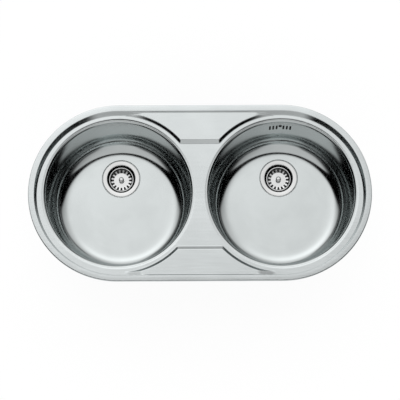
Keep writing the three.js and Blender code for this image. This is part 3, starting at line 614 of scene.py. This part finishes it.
def threaded(name, root, crest, low, high, pitch, cap=0.6, around=28, ends=True, angle=60):
    """A screw thread, as a surface whose radius winds up and down; it fades over a cap at each end."""
    rows = int((high - low) / pitch * 6) + 1
    turn = full_turn(around)
    rings = []
    for z in np.linspace(low, high, rows):
        wave = np.abs(((z / pitch - turn / (2 * math.pi)) % 1.0) * 2 - 1)
        ease = min(1.0, (z - low) / cap, (high - z) / cap)
        r = root + (crest - root) * wave * max(ease, 0.0)
        rings.append(np.stack([r * np.cos(turn), r * np.sin(turn), np.full(around, z)], 1))
    return tube(name, rings, ends=ends, angle=angle)


def arc(r, z, radius, start, end, steps):
    """[r, z] points on an arc, angles in degrees."""
    turn = np.radians(np.linspace(start, end, steps + 1))
    return [(r + radius * math.cos(a), z + radius * math.sin(a)) for a in turn]


def rectangle(x0, x1, y0, y1):
    return [(x0, y0), (x1, y0), (x1, y1), (x0, y1)]


def plain(points, radius, steps=3):
    """A closed outline whose corners are rounded by up to a radius, where x is above zero."""
    points = [Vector(p) for p in points]
    out = []
    for i, p in enumerate(points):
        a, b = points[i - 1] - p, points[(i + 1) % len(points)] - p
        if p[0] < ON_AXIS or a.length < ON_AXIS or b.length < ON_AXIS:
            out.append(tuple(p))
            continue
        angle = a.angle(b)
        reach = min(radius / math.tan(angle / 2), 0.45 * a.length, 0.45 * b.length)
        start, end = p + a.normalized() * reach, p + b.normalized() * reach
        for k in range(steps + 1):
            s = k / steps
            out.append(tuple(start * (1 - s) ** 2 + p * 2 * s * (1 - s) + end * s**2))
    return out


def inside_loop(plan, loop):
    """Which points of a plan lie inside an outline."""
    x, y = plan[:, 0][:, None], plan[:, 1][:, None]
    x0, y0 = loop[:, 0], loop[:, 1]
    x1, y1 = np.roll(x0, -1), np.roll(y0, -1)
    with np.errstate(divide="ignore", invalid="ignore"):
        crosses = ((y0 > y) != (y1 > y)) & (x < (x1 - x0) * (y - y0) / (y1 - y0) + x0)
    return crosses.sum(1) % 2 == 1


def joined(name, *meshes):
    """One mesh out of several."""
    work = bmesh.new()
    for mesh in meshes:
        work.from_mesh(mesh)
        bpy.data.meshes.remove(mesh)
    made = bpy.data.meshes.new(name)
    work.to_mesh(made)
    work.free()
    return made


def laid(mesh, matrix):
    mesh.transform(matrix)
    return mesh


# ---- deck

LIP_SLOPE = 0.13
LIP_TURN = 3.2  # width of the sloping turn round each bowl
TIP_SLOPE = 0.16  # of the panels' tips, down to TIP_REACH past their ends
TIP_REACH = 14.0
PANEL_FADE = 4.0  # slope that ends the bevel between border and panel
EDGE_WIDTH = 1.7  # of the rounded outer edge
EDGE_LOW, EDGE_RISE, EDGE_SLOPE = 0.9, 2.85, 0.4
SOFT, SOFTER, SOFTEST = 0.8, 1.0, 2.0  # widths of the blends between the deck's faces
PANEL_SOFT, CROWN_SOFT, RIM_SOFT = 1.4, 0.5, 0.3
BEVEL_ROUNDS = 14  # the bevel's shift follows from its height, which is found by repetition


def from_axis(x, y):
    """Distance from the line between the bowls' centres."""
    return np.hypot(np.maximum(np.abs(x) - BOWL_X, 0), y)


def from_bowl(x, y):
    """Distance from the nearer bowl's centre."""
    return np.hypot(np.abs(x) - BOWL_X, y)


def lip_fall(out):
    """Fall of the deck at that distance outside a bowl's edge."""
    return LIP_SLOPE * smax(LIP_TURN - out, 0.0, SOFT)


def deck_height(x, y):
    """Height of the deck's top, from its planes and cones."""
    t = np.zeros_like(x)
    for _ in range(BEVEL_ROUNDS):
        t = (from_axis(x, y - BEVEL_SHIFT * (1 - t)) - BEVEL_FOOT) / BEVEL_WIDTH
    bevel = LEDGE + (RIM_TOP - LEDGE) * t
    cones = LEDGE + from_bowl(x, y) - PANEL_RADIUS
    straight = LEDGE + np.maximum(y - CENTRE_BACK, CENTRE_FRONT - y) / CENTRE_SLOPE
    tips = LEDGE + TIP_SLOPE * (PANEL_END + TIP_REACH - np.abs(x))
    low = smin(smin(cones, straight, SOFTEST), tips, SOFTER)
    low = smax(smax(low, LEDGE, SOFTER), bevel, SOFT)
    rho = from_axis(x, y)
    panel = smax((rho - BORDER_INNER + PANEL_BEVEL) * RIM_TOP / PANEL_BEVEL, 0.0, PANEL_SOFT)
    panel = panel + PANEL_FADE * np.maximum(np.abs(x) - PANEL_END, 0)
    z = smin(smin(low, panel, SOFT), RIM_TOP, SOFT)
    crown = RIM_TOP - CROWN * np.maximum(rho - END_RADIUS + CROWN_WIDTH, 0)
    u = np.clip((rho - END_RADIUS + EDGE_WIDTH) / EDGE_WIDTH, 0, 1)
    edge = EDGE_LOW + EDGE_RISE * np.sqrt(1 - u * u)
    edge = edge + EDGE_SLOPE * np.maximum(END_RADIUS - EDGE_WIDTH - rho, 0)
    z = smin(z, smin(crown, edge, CROWN_SOFT), RIM_SOFT)
    return z - lip_fall(from_bowl(x, y) - BOWL_RADIUS)


def stadium(radius, shift=0.0):
    """The sink's outline at a distance from its axis, with a point every 3 mm."""
    arcs = max(24, int(math.pi * radius / 3.0))
    line = max(8, int(2 * BOWL_X / 3.0))
    right = np.radians(np.linspace(-90, 90, arcs, endpoint=False))
    left = right + math.pi
    along = np.linspace(BOWL_X, -BOWL_X, line, endpoint=False)
    parts = [
        np.stack([BOWL_X + radius * np.cos(right), radius * np.sin(right)], 1),
        np.stack([along, np.full(line, radius)], 1),
        np.stack([-BOWL_X + radius * np.cos(left), radius * np.sin(left)], 1),
        np.stack([-along, np.full(line, -radius)], 1),
    ]
    return np.concatenate(parts) + [0, shift], True


def deck_curves():
    """Lines for the deck's triangles to follow, closest together where it bends."""
    curves = []
    for inset in (0.01, 0.1, 0.25, 0.5, 0.8, 1.2, 1.7, 2.2, 2.7, 3.2, 3.8, 4.6, 7, 9, 10, 11, 13):
        curves.append(stadium(END_RADIUS - inset))
    for inset in (-1.6, -1.0, -0.5, 0.0, 0.5, 1.0, 1.7):
        curves.append(stadium(BORDER_INNER - inset, BEVEL_SHIFT * inset / BEVEL_WIDTH))
    for t in (0.4, 0.6):
        curves.append(stadium(BEVEL_FOOT + BEVEL_WIDTH * t, BEVEL_SHIFT * (1 - t)))
    for out in (-1.6, -1.0, -0.5, 0.0, 0.5, 1.0, 1.6):
        curves.append(stadium(BEVEL_FOOT + out, BEVEL_SHIFT))
    for side in SIDES.values():
        for radius in (BOWL_RADIUS, 186, 187, 188, 188.4, 188.8, 190, 192):
            curves.append(ring(radius, 280, side * BOWL_X))
        for radius in np.arange(194, 206, 0.5):
            for low, high in ((96, 146), (214, 264)):  # the panels' curved edges
                start, end = (low, high) if side > 0 else (180 - high, 180 - low)
                curves.append(ring(radius, 56, side * BOWL_X, 0, start, end))
    steps = np.array([-1.8, -1, -0.4, 0.2, 0.9, 1.8, 4, 6.2, 7.1, 7.8, 8.5, 9.5])
    for level in np.concatenate([CENTRE_BACK + steps, CENTRE_FRONT - steps]):
        curves.append(level_line(-62, 62, 42, level))
    for level in (199.6, 200.3, 200.9, 201.5):  # the panels' bevels
        for way in (-1, 1):
            curves.append(level_line(-160, 160, 100, way * level))
    return curves


def make_deck():
    def keep(plan):
        x, y = plan[:, 0], plan[:, 1]
        return (from_bowl(x, y) > BOWL_RADIUS) & (from_axis(x, y) < END_RADIUS)

    sheet = skin("deck_skin", deck_curves(), keep, raised(deck_height), THICK)
    put("deck_skin", sheet, DECK, "sink", "deck")


make_deck()

# ---- bowls

SLOPE = math.tan(TAPER)
WALL_TOP = (LIP[0] - LIP[2] * math.cos(TAPER), LIP[1] + LIP[2] * math.sin(TAPER))
WALL_LOW = (
    FLOOR_FILLET[0] + FLOOR_FILLET[2] * math.cos(TAPER),
    FLOOR_FILLET[1] - FLOOR_FILLET[2] * math.sin(TAPER),
)
LIP_LENGTH = LIP[2] * (math.pi / 2 - TAPER)
WALL_LENGTH = math.dist(WALL_TOP, WALL_LOW)
WALL_END = LIP_LENGTH + WALL_LENGTH
MEET = 159.0  # radius where the wall's mesh gives way to the floor's
MEET_TURN = math.acos((MEET - FLOOR_FILLET[0]) / FLOOR_FILLET[2])
SIDE_LENGTH = WALL_END + FLOOR_FILLET[2] * (MEET_TURN - TAPER)
UNROLL = 178.0  # radius at which the wall's plan has its true width
AROUND = 220  # steps round a bowl

FILLET_EASE = 18.0  # width over which the floor turns into its fillet
RECESS = (48.8, 1.1, 2.2)  # outer radius, slope's width and depth of the step round the drain
DRAIN_HOLE = 36.5


def wall_radius(z):
    return WALL_TOP[0] - (WALL_TOP[1] - z) * SLOPE


def bowl_line(s):
    """[r, z] on the bowl's inside face, s millimetres along it from the lip."""
    turn = math.pi / 2 + np.clip(s, -1, LIP_LENGTH) / LIP[2]
    lip = np.stack([LIP[0] + LIP[2] * np.cos(turn), LIP[1] + LIP[2] * np.sin(turn)], 1)
    lip[:, 1] -= LIP_SLOPE * LIP_TURN * np.clip(1 - s / LIP_LENGTH, 0, 1)
    share = np.clip((s - LIP_LENGTH) / WALL_LENGTH, 0, 1)[:, None]
    wall = np.array(WALL_TOP) * (1 - share) + np.array(WALL_LOW) * share
    past = np.maximum(s - LIP_LENGTH - WALL_LENGTH, 0)
    down = -TAPER - past / FLOOR_FILLET[2]
    r = FLOOR_FILLET[0] + FLOOR_FILLET[2] * np.cos(down)
    z = FLOOR_FILLET[1] + FLOOR_FILLET[2] * np.sin(down)
    low = np.where((past > 0)[:, None], np.stack([r, z], 1), wall)
    return np.where((s < LIP_LENGTH)[:, None], lip, low)


def slot_loop(x, z_mid, width, height):
    """Outline of an upright slot in the wall's unrolled plan."""
    r = width / 2
    half = height / 2 - r
    up = np.radians(np.linspace(0, 180, 10))
    across = x + r * np.cos(np.concatenate([up, up + math.pi]))
    rise = np.concatenate([half + r * np.sin(up), -half + r * np.sin(up + math.pi)])
    s_mid = LIP_LENGTH + (WALL_TOP[1] - z_mid) / math.cos(TAPER)
    turn = math.pi / 2 - across / wall_radius(z_mid)
    return np.stack([UNROLL * turn, s_mid - rise / math.cos(TAPER)], 1)


def overflow_holes():
    """Six slots and a screw hole, a hair taller than wide so that no points of it coincide."""
    slots = [
        slot_loop(SLOT_PITCH * i, OVERFLOW_Z, SLOT_WIDTH, SLOT_HEIGHT) for i in (-3, -2, -1, 1, 2, 3)
    ]
    return slots + [slot_loop(0.0, OVERFLOW_Z + SCREW_RISE, SCREW_HOLE, SCREW_HOLE + 0.0001)]


def make_wall(name, holes):
    width = 2 * math.pi * UNROLL
    levels = np.concatenate(
        [
            np.linspace(0, 1.4, 5),
            np.linspace(1.4, LIP_LENGTH, 9)[1:],
            np.linspace(LIP_LENGTH, WALL_END, 26)[1:],
            np.linspace(WALL_END, SIDE_LENGTH, 16)[1:],
        ]
    )
    curves = [level_line(0, width, AROUND + 1, s) for s in levels]
    curves += [(np.array([[x, 0.0], [x, SIDE_LENGTH]]), False) for x in (0.0, width)]
    curves += [(loop, True) for loop in holes]

    def place(plan):
        line = bowl_line(plan[:, 1])
        turn = plan[:, 0] / UNROLL
        return np.column_stack([line[:, 0] * np.cos(turn), line[:, 0] * np.sin(turn), line[:, 1]])

    def keep(plan):
        stays = np.ones(len(plan), bool)
        for loop in holes:
            near = np.abs(plan[:, 0] - loop[:, 0].mean()) < 20
            stays[near] &= ~inside_loop(plan[near], loop)
        return stays

    return skin(name, curves, keep, place, THICK, flip=True)


def floor_height(x, y):
    r = np.hypot(x, y)
    out = np.clip(smax(r - FLOOR_FILLET[0], 0.0, FILLET_EASE), 0, FLOOR_FILLET[2] - 0.001)
    z = FLOOR_FILLET[1] - np.sqrt(FLOOR_FILLET[2] ** 2 - out**2)
    radius, slope, depth = RECESS
    step = np.clip((radius - np.hypot(x, y - DRAIN_Y)) / slope, 0, 1)
    step = step * step * (3 - 2 * step)
    return z * (1 - step) + (FLOOR - depth) * step


def make_floor(name):
    def keep(plan):
        x, y = plan[:, 0], plan[:, 1]
        return (np.hypot(x, y) < MEET) & (np.hypot(x, y - DRAIN_Y) > DRAIN_HOLE)

    flat = [60, 85, 100, 107, 112, 115, 118, 121, 124, 127, 129]
    curves = [ring(MEET, AROUND)]
    for radius in np.concatenate([np.arange(131.1, 158, 2.2), flat]):
        curves.append(ring(radius, AROUND if radius > 100 else 120))
    for radius in (DRAIN_HOLE, 44, 47, 47.5, 47.7, 47.9, 48.1, 48.3, 48.5, 48.7, 48.9, 49.4, 51):
        curves.append(ring(radius, 160, 0, DRAIN_Y))
    return skin(name, curves, keep, raised(floor_height), THICK)


def make_bowl(name, side):
    at = (side * BOWL_X, 0, 0)
    wall = make_wall(f"{name}_bowl_wall", overflow_holes() if name == "right" else [])
    floor = make_floor(f"{name}_bowl_floor")
    for piece, mesh in (("wall", wall), ("floor", floor)):
        put(f"{name}_bowl_{piece}", mesh, BOWL, "sink", f"{name}_bowl", at)


for bowl_name, bowl_side in SIDES.items():
    make_bowl(bowl_name, bowl_side)

# ---- wastes
#
# Heights are in the waste's own frame, whose zero is the bowl's floor.

CUP_TOP, CUP_UNDER = -0.2, -1.2
CUP_HOLES, CUP_HOLE, CUP_CIRCLE = 8, 4.0, 14
SLOTS, SLOT_INNER, SLOT_OUTER = 16, 18.8, 28.2
BASKET_LINE = [
    (0, -18.5), (18.6, -18.5), (26.4, -17.8), (28.4, -8.2), (28.9, -7.0), (30.6, -7.0),
    (31.4, -7.7), (40, -7.7),
]
BASKET_RADII = [
    2.7, 6, 12, 17, 18.2, 19.2, 22, 25.0, 26.1, 26.5, 27, 27.5, 28, 28.4, 28.7, 29, 29.4, 30.3,
    30.8, 31.3,
]
KNOB = [
    (0, -23.5), (4.5, -23.5), (4.5, -22.3), (2.4, -22.3), (2.4, -18.4), (4.8, -18.4), (4.4, -17.6),
    (3.3, -16.4), (3.1, -13.8), (3.5, -11.8), (5.6, -11.0), (6.4, -9.9), (6.5, -8.8), (6.2, -7.7),
    (5.2, -6.7), (3.4, -6.15), (1.6, -6.0), (0, -6.0),
]
STOPPER = [
    (2.7, -19.4), (22.5, -19.4), (24.5, -20.9), (24.5, -26.9), (23.5, -26.9), (21.5, -22.2),
    (2.7, -22.2),
]
SCREW_HEAD = [
    (0, -25.6), (1.6, -25.6), (1.6, -23.95), (4.6, -23.95), (5.4, -24.9), (5.5, -26.9), (0, -26.9),
]
BODY = [
    (37, -6.3), (37, -36), (20, -45), (20, -75), (22.7, -75), (22.7, -51.5), (23.9, -50.5),
    (23.9, -48.9), (39.5, -38.5), (39.5, -9.3), (46, -9.3), (46, -6.3),
]
BOSS = [(3.3, -28.1), (6, -28.1), (6, -49.9), (0, -49.9), (0, -48.2), (3.3, -48.2)]
RIBS, FIRST_RIB, GRIPS = 3, 150, 24
INLET_DROP = 20  # axis of the overflow's inlet below the bowl's floor


def fit(name, piece, mesh, look, node, body="sink"):
    """Puts a piece of the left or right waste."""
    at = (SIDES[name] * BOWL_X, DRAIN_Y, FLOOR)
    put(f"{name}_{piece}", mesh, look, body, f"{name}_{node}", at)


def disc_skin(name, radii, holes, height, thickness, count):
    """A turned sheet with holes cut through it in plan."""
    curves = [ring(r, count if r > 12 else 48) for r in radii] + [(h, True) for h in holes]
    rs = np.linspace(0, radii[-1] + 1, 600)
    zs = height(rs)

    def level(x, y):
        return np.interp(np.hypot(x, y), rs, zs)

    def keep(plan):
        r = np.hypot(plan[:, 0], plan[:, 1])
        stays = (r > radii[0]) & (r < radii[-1])
        for hole in holes:
            stays &= ~inside_loop(plan, hole)
        return stays

    return skin(name, curves, keep, raised(level), thickness)


def slot_round(inner, outer, width, turn):
    """Outline of a basket's slot in plan: a blunt inner end, sides that open outwards, and a wide
    head that cuts up the basket's wall."""
    half = width / 2
    wide, head, neck = half + 0.6, half + 1.6, outer - 2.0
    shoulder = neck + 0.4
    up = np.radians(np.linspace(90, 270, 7))
    blunt = np.stack([inner + 1.2 * (1 + np.cos(up)), half * np.sin(up)], 1)
    opened = np.array([[neck, -wide], [shoulder, -head], [outer, -head]])
    loop = np.concatenate([blunt, opened, opened[::-1] * [1, -1]])
    c, s = math.cos(turn), math.sin(turn)
    return loop @ np.array([[c, s], [-s, c]])


def smoothed(knots, width):
    """Height over radius from [r, z] knots, its corners softened over a width."""
    r, z = np.array(knots, float).T
    shifts = np.linspace(-width / 2, width / 2, 9)

    def height(x):
        return np.mean([np.interp(x + s, r, z) for s in shifts], axis=0)

    return height


def bar(name, x0, x1, y0, y1, z0, z1, soft):
    """A block with rounded edges, for ribs that join a turned piece."""
    outline = plain(rectangle(x0, x1, y0, y1), soft)
    x, y = (x0 + x1) / 2, (y0 + y1) / 2
    rings = []
    for end, into in ((z0, 1), (z1, -1)):
        steps = [(0, soft), (0.3 * soft, 0.3 * soft), (soft, 0)]
        for rise, inset in steps[::into]:
            along, across = 1 - inset / ((x1 - x0) / 2), 1 - inset / ((y1 - y0) / 2)
            z = end + into * rise
            rings.append(np.array([(x + (px - x) * along, y + (py - y) * across, z) for px, py in outline]))
    return tube(name, rings, ends=True)


def make_cup(name):
    profile = (
        [(28.5, -27.0)]
        + arc(30.0, -24.2, 2.8, -90, -10, 6)
        + [(33.5, -15.0), (34.5, -6.5), (35.8, -1.2)]
        + arc(36.8, -1.25, 1.0, 165, 90, 6)
        + [(45.2, CUP_TOP)]
        + arc(45.4, -1.6, 1.4, 90, 20, 5)
        + [(47.0, CUP_UNDER), (38.0, CUP_UNDER)]
        + arc(39.4, -5.6, 4.2, 105, 190, 6)
        + [(34.8, -12.0), (34.0, -24.0)]
        + arc(30.4, -24.4, 3.6, -10, -90, 6)
        + [(28.5, -28.0)]
    )
    fit(name, "cup_wall", turned(f"{name}_cup", profile, 160), CUP, "strainer_cup")
    holes = []
    for i in range(CUP_HOLES):
        turn = math.pi / CUP_HOLES * (2 * i + 1)
        holes.append(ring(CUP_HOLE, 20, CUP_CIRCLE * math.cos(turn), CUP_CIRCLE * math.sin(turn))[0])
    dished = smoothed([(0, -27.4), (6, -27.4), (8, -27.0), (40, -27.0)], 1.0)
    floor = disc_skin(f"{name}_cup_floor", [3.3, 5, 8, 20, 28.9], holes, dished, 0.9, 96)
    fit(name, "cup_floor", floor, CUP, "strainer_cup")


def make_strainer(name):
    body = f"{name}_strainer"
    slots = [slot_round(SLOT_INNER, SLOT_OUTER, 4.6, 2 * math.pi / SLOTS * i) for i in range(SLOTS)]
    line = smoothed(BASKET_LINE, 0.6)
    sheet = disc_skin(f"{name}_basket", BASKET_RADII, slots, line, 0.8, 192)
    fit(name, "basket", sheet, STRAINER, "basket", body)
    knob = turned(f"{name}_knob", plain(KNOB, 0.35), 48)
    fit(name, "knob", knob, BASKET, "basket_knob", body)
    plug = turned(f"{name}_plug", plain(STOPPER, 0.5), 96)
    fit(name, "plug", plug, RUBBER, "stopper", body)


def make_seals(name):
    thin = turned(f"{name}_fw", plain(rectangle(38.2, 46.5, -2.1, -1.3), 0.3), 96)
    fit(name, "flange_washer", thin, GASKET, "flange_seal")
    thick = turned(f"{name}_lw", plain(rectangle(36.8, 45.0, -6.2, -3.3), 1.0), 96)
    fit(name, "lower_washer", thick, RUBBER, "lower_seal")


def make_centre_screw(name):
    head = turned("head", plain(SCREW_HEAD, 0.25), 40)
    shank = threaded("shank", 2.45, 3.0, -47.9, -26.0, 1.0)
    screw = joined(f"{name}_screw", head, shank)
    fit(name, "screw", screw, FASTENER, "centre_screw")


def inlet_pipe():
    """The overflow's inlet and its collar, turned to point backwards."""
    pipe = plain([(8.5, 37.5), (8.5, 64), (10.5, 64), (10.5, 37.5)], 0.5)
    collar = plain(rectangle(10.2, 12.6, 38.0, 42.0), 0.8)
    back = Matrix.Translation((0, 0, -INLET_DROP)) @ Matrix.Rotation(-math.pi / 2, 4, "X")
    return [laid(turned("pipe", shape, 48), back) for shape in (pipe, collar)]


def make_body(name):
    thread = threaded("thread", 22.6, 23.9, -74.6, -51.5, 2.3, cap=1.5, around=72, ends=False, angle=70)
    parts = [turned("body", plain(BODY, 0.8), 96), thread, turned("boss", plain(BOSS, 0.5), 32)]
    for i in range(RIBS):
        rib = bar("rib", 4.5, 38.2, -1.25, 1.25, -36, -31.1, 0.4)
        turn = math.radians(FIRST_RIB + 360 / RIBS * i)
        parts.append(laid(rib, Matrix.Rotation(turn, 4, "Z")))
    for i in range(GRIPS):
        grip = bar("grip", 39.0, 40.5, -1.1, 1.1, -33.0, -11.5, 0.5)
        turn = math.radians(360 / GRIPS * (i + 0.5))
        parts.append(laid(grip, Matrix.Rotation(turn, 4, "Z")))
    if name == "right":
        parts += inlet_pipe()
    fit(name, "body", joined(f"{name}_body", *parts), PLASTIC, "waste_body")


for waste in SIDES:
    make_cup(waste)
    make_strainer(waste)
    make_seals(waste)
    make_centre_screw(waste)
    make_body(waste)

# ---- seal, pads, rails

SEAL_INNER, SEAL_OUTER = 210.8, 216.8
STACK_GAP = 0.1  # between the deck and the seal
PAD_TOP, PAD_UNDER = -162.1, -164.1
PAD_MARGIN = 13.4  # inside the flat floor
PAD_GAP = 0.5  # from the drain's recess, whose outside is DRAIN_OUTER
DRAIN_OUTER = 48.7
RAIL_HALF = 125.0  # half the straight rails' length
RAIL_ARC = 52  # half the curved rails' angle


def even_stadium(radius):
    """The sink's outline with as many points at any distance from its axis."""
    half = np.radians(np.linspace(-90, 90, 91))
    right = np.stack([BOWL_X + radius * np.cos(half), radius * np.sin(half)], 1)
    line = np.linspace(BOWL_X, -BOWL_X, 21)[1:-1]
    top = np.stack([line, np.full(len(line), radius)], 1)
    return np.concatenate([right, top, -right, -top])


def make_seal():
    def under(r):
        return RIM_TOP - THICK - STACK_GAP - CROWN * (r - END_RADIUS + THICK + CROWN_WIDTH)

    low = [(SEAL_INNER, 0), (SEAL_OUTER, 0)]
    outline = plain(low + [(r, under(r)) for r, _ in low[::-1]], 0.5)
    rings = []
    for r, z in outline:
        points = even_stadium(r)
        rings.append(np.column_stack([points, np.full(len(points), z)]))
    strip = tube("foam_strip", rings, closed=True)
    put("foam_strip", strip, GASKET, "sink", "edge_seal")


def make_pads():
    """Each pad fills the room between the drain and the floor's front."""
    front = FLOOR_FILLET[0] - PAD_MARGIN
    radius = (DRAIN_Y - DRAIN_OUTER - PAD_GAP + front) / 2
    disc = plain(rectangle(0, radius, PAD_UNDER, PAD_TOP), 0.8)
    for name, side in SIDES.items():
        at = (side * BOWL_X, radius - front, 0)
        pad = turned(f"{name}_pad", disc, 96)
        put(f"{name}_pad", pad, PAD, "sink", f"{name}_sound_pad", at)


def rail_outline(top):
    """The hook-shaped rail, bent from strip, as a closed [distance, z] outline."""
    outer = [(189, top), (189, -19), (196, -19), (196, -13)]
    return plain(outer + [(194.8, -13), (194.8, -17.8), (190.2, -17.8), (190.2, top)], 1.2, 4)


def make_rail(name, rings, place=(0, 0, 0)):
    strip = tube(name, rings, ends=True)
    put(f"{name}_strip", strip, BRACKET, "sink", f"{name}_rail", place)


def make_rails():
    middle = (192.5, -10)
    straight = rail_outline(-1.1)
    for name, way in (("back", 1), ("front", -1)):
        rings = []
        for x, shrunk in ((-RAIL_HALF, 0.02), (0.3 - RAIL_HALF, 0), (RAIL_HALF - 0.3, 0), (RAIL_HALF, 0.02)):
            ends = [(r + shrunk * (middle[0] - r), z + shrunk * (middle[1] - z)) for r, z in straight]
            rings.append(np.array([(x * way, r * way, z) for r, z in ends]))
        make_rail(name, rings)
    curved = rail_outline(-7.1)
    for name, side in SIDES.items():
        rings = []
        for a in np.radians(np.linspace(-RAIL_ARC, RAIL_ARC, 80)):
            c, s = side * math.cos(a), side * math.sin(a)
            rings.append(np.array([(r * c, r * s, z) for r, z in curved]))
        make_rail(name, rings, (side * BOWL_X, 0, 0))


make_seal()
make_pads()
make_rails()

# ---- clip screws

# [x of the point on the sink's axis that a clip is set out from, its direction in degrees]
CLIPS = {
    "back_left": (-100, 90), "back_right": (100, 90), "front_left": (-100, -90),
    "front_right": (100, -90), "right_back": (BOWL_X, 38), "right_front": (BOWL_X, -38),
    "left_back": (-BOWL_X, 142), "left_front": (-BOWL_X, 218),
}
CLIP_SCREW_AT = 202.5  # distance of a clip's screw from that point
HEXAGON = 4.2  # radius over its head's corners
HEXAGON_LEVELS = [(0.8, -48.0), (0.97, -48.0), (1.0, -47.5), (1.0, -44.8), (0.97, -44.3), (0.8, -44.3)]


def make_clip_screw(name, x, degrees):
    angles = np.radians(np.arange(0, 360, 60))
    outline = plain([(HEXAGON * math.cos(a), HEXAGON * math.sin(a)) for a in angles], 0.35)
    rings = [np.array([(s * px, s * py, z) for px, py in outline]) for s, z in HEXAGON_LEVELS]
    head = tube("head", rings, ends=True, angle=25)
    thread = threaded("thread", 2.05, 2.5, -44.6, -22.5, 0.8, around=20)
    turn = math.radians(degrees)
    at = (x + CLIP_SCREW_AT * math.cos(turn), CLIP_SCREW_AT * math.sin(turn), 0)
    bolt = joined(name, head, thread)
    moving = f"{name}_clip_screw"  # its body and its node have one name
    made = put(f"{name}_bolt", bolt, FASTENER, moving, moving, at)
    made.rotation_euler = (0, 0, turn)


for clip, (clip_x, clip_degrees) in CLIPS.items():
    make_clip_screw(clip, clip_x, clip_degrees)

# ---- overflow

HOUSING_WALL, HOUSING_MARGIN, HOUSING_DEPTH = 3, 3, 27
PIPE_INSET = 13  # its pipe's axis, in from the housing's back
BEND = 45.0
BODY_FLANGE = 46
HOSE_BORE, HOSE_CUFF = 12.2, 13.4
BEAD, BEAD_RISE, BEAD_SOFT = 3.0, 0.9, 0.6  # thicker rim of each cuff, and its rounded end
CUFFS = 42  # both together
TOP_GAP, END_GAP = 1, 2  # hose from the housing and from the body's flange
RIB_PITCH, RIB_ROOT, RIB_RISE = 6.5, 13.0, 2.0


def make_hose():
    """Down from the housing, round one bend and forward into the right waste's body."""
    back = wall_radius(OVERFLOW_Z) + THICK + HOUSING_DEPTH
    pipe_y = back - PIPE_INSET
    start = OVERFLOW_Z - SLOT_HEIGHT / 2 - HOUSING_MARGIN - HOUSING_WALL - TOP_GAP
    end = DRAIN_Y + BODY_FLANGE + END_GAP
    down = start - (FLOOR - INLET_DROP + BEND)
    quarter = math.pi / 2 * BEND
    total = down + quarter + (pipe_y - BEND - end)
    ribs = int((total - CUFFS) / RIB_PITCH)
    first = (total - RIB_PITCH * ribs) / 2

    def ring_at(s, radius):
        angle = min(max((s - down) / BEND, 0), math.pi / 2)
        ahead = max(s - down - quarter, 0)
        y = pipe_y - BEND * (1 - math.cos(angle)) - ahead
        z = start - min(s, down) - BEND * math.sin(angle)
        turn = full_turn(56)
        across = radius * np.sin(turn)
        return np.stack(
            [radius * np.cos(turn), y + across * math.cos(angle), z - across * math.sin(angle)], 1
        )

    def radius_at(s):
        if first < s < total - first:
            wave = 0.5 - 0.5 * math.cos(2 * math.pi * (s - first) / RIB_PITCH)
            return RIB_ROOT + RIB_RISE * wave**0.7
        rim = min(s, total - s)
        bead = BEAD_RISE * (1 - min(max(rim - BEAD, 0), 1))
        return HOSE_CUFF + bead - BEAD_SOFT * max(1 - rim / BEAD_SOFT, 0)

    rings = [ring_at(s, radius_at(s)) for s in np.arange(0, total, 0.5)]
    rings += [ring_at(total, HOSE_CUFF)]
    rings += [ring_at(s, HOSE_BORE) for s in np.linspace(total, 0, 60)]
    hose = tube("ribbed_hose", rings, closed=True, angle=50)
    put("ribbed_hose", hose, HOSE, "sink", "overflow_hose", (BOWL_X, 0, 0))


OVERFLOW_HEAD_RADIUS, HEAD_GAP = 4.6, 0.3
OVERFLOW_HEAD = [
    (0, 1.6), (1.3, 1.6), (1.5, 2.95), (2.5, 2.7), (4.0, 1.5), (OVERFLOW_HEAD_RADIUS, 0), (2, 0),
    (2, -1), (0, -1),
]


def make_overflow_screw():
    z = OVERFLOW_Z + SCREW_RISE
    under = wall_radius(z) - OVERFLOW_HEAD_RADIUS * SLOPE - HEAD_GAP
    head = turned("head", plain(OVERFLOW_HEAD, 0.2), 40)
    thread = threaded("thread", 1.6, 2.0, -22.0, 0.0, 0.8, around=18)
    mesh = joined("overflow_bolt", head, thread)
    mesh.transform(Matrix.Rotation(math.pi / 2, 4, "X"))
    put("overflow_bolt", mesh, SCREW, "sink", "overflow_screw", (BOWL_X, under, z))


make_hose()
make_overflow_screw()

# ---- the CAD nodes that stay

CARRIED = {"bracket": BRACKET, "jaw": BRACKET, "housing": PLASTIC, "gasket": RUBBER}
HOUSING_SOFT, PLATE_SOFT = 1.2, 0.35  # widths of their softened edges
for node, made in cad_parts.items():
    if made.hide_render:
        continue
    made.data.materials.clear()
    made.data.materials.append(CARRIED[node.rsplit("_", 1)[1]])
    soften = made.modifiers.new("soften", "BEVEL")
    soften.width = (HOUSING_SOFT if "housing" in node else PLATE_SOFT) * MM
    soften.segments = 3
    soften.limit_method = "ANGLE"
    soften.angle_limit = math.radians(50)
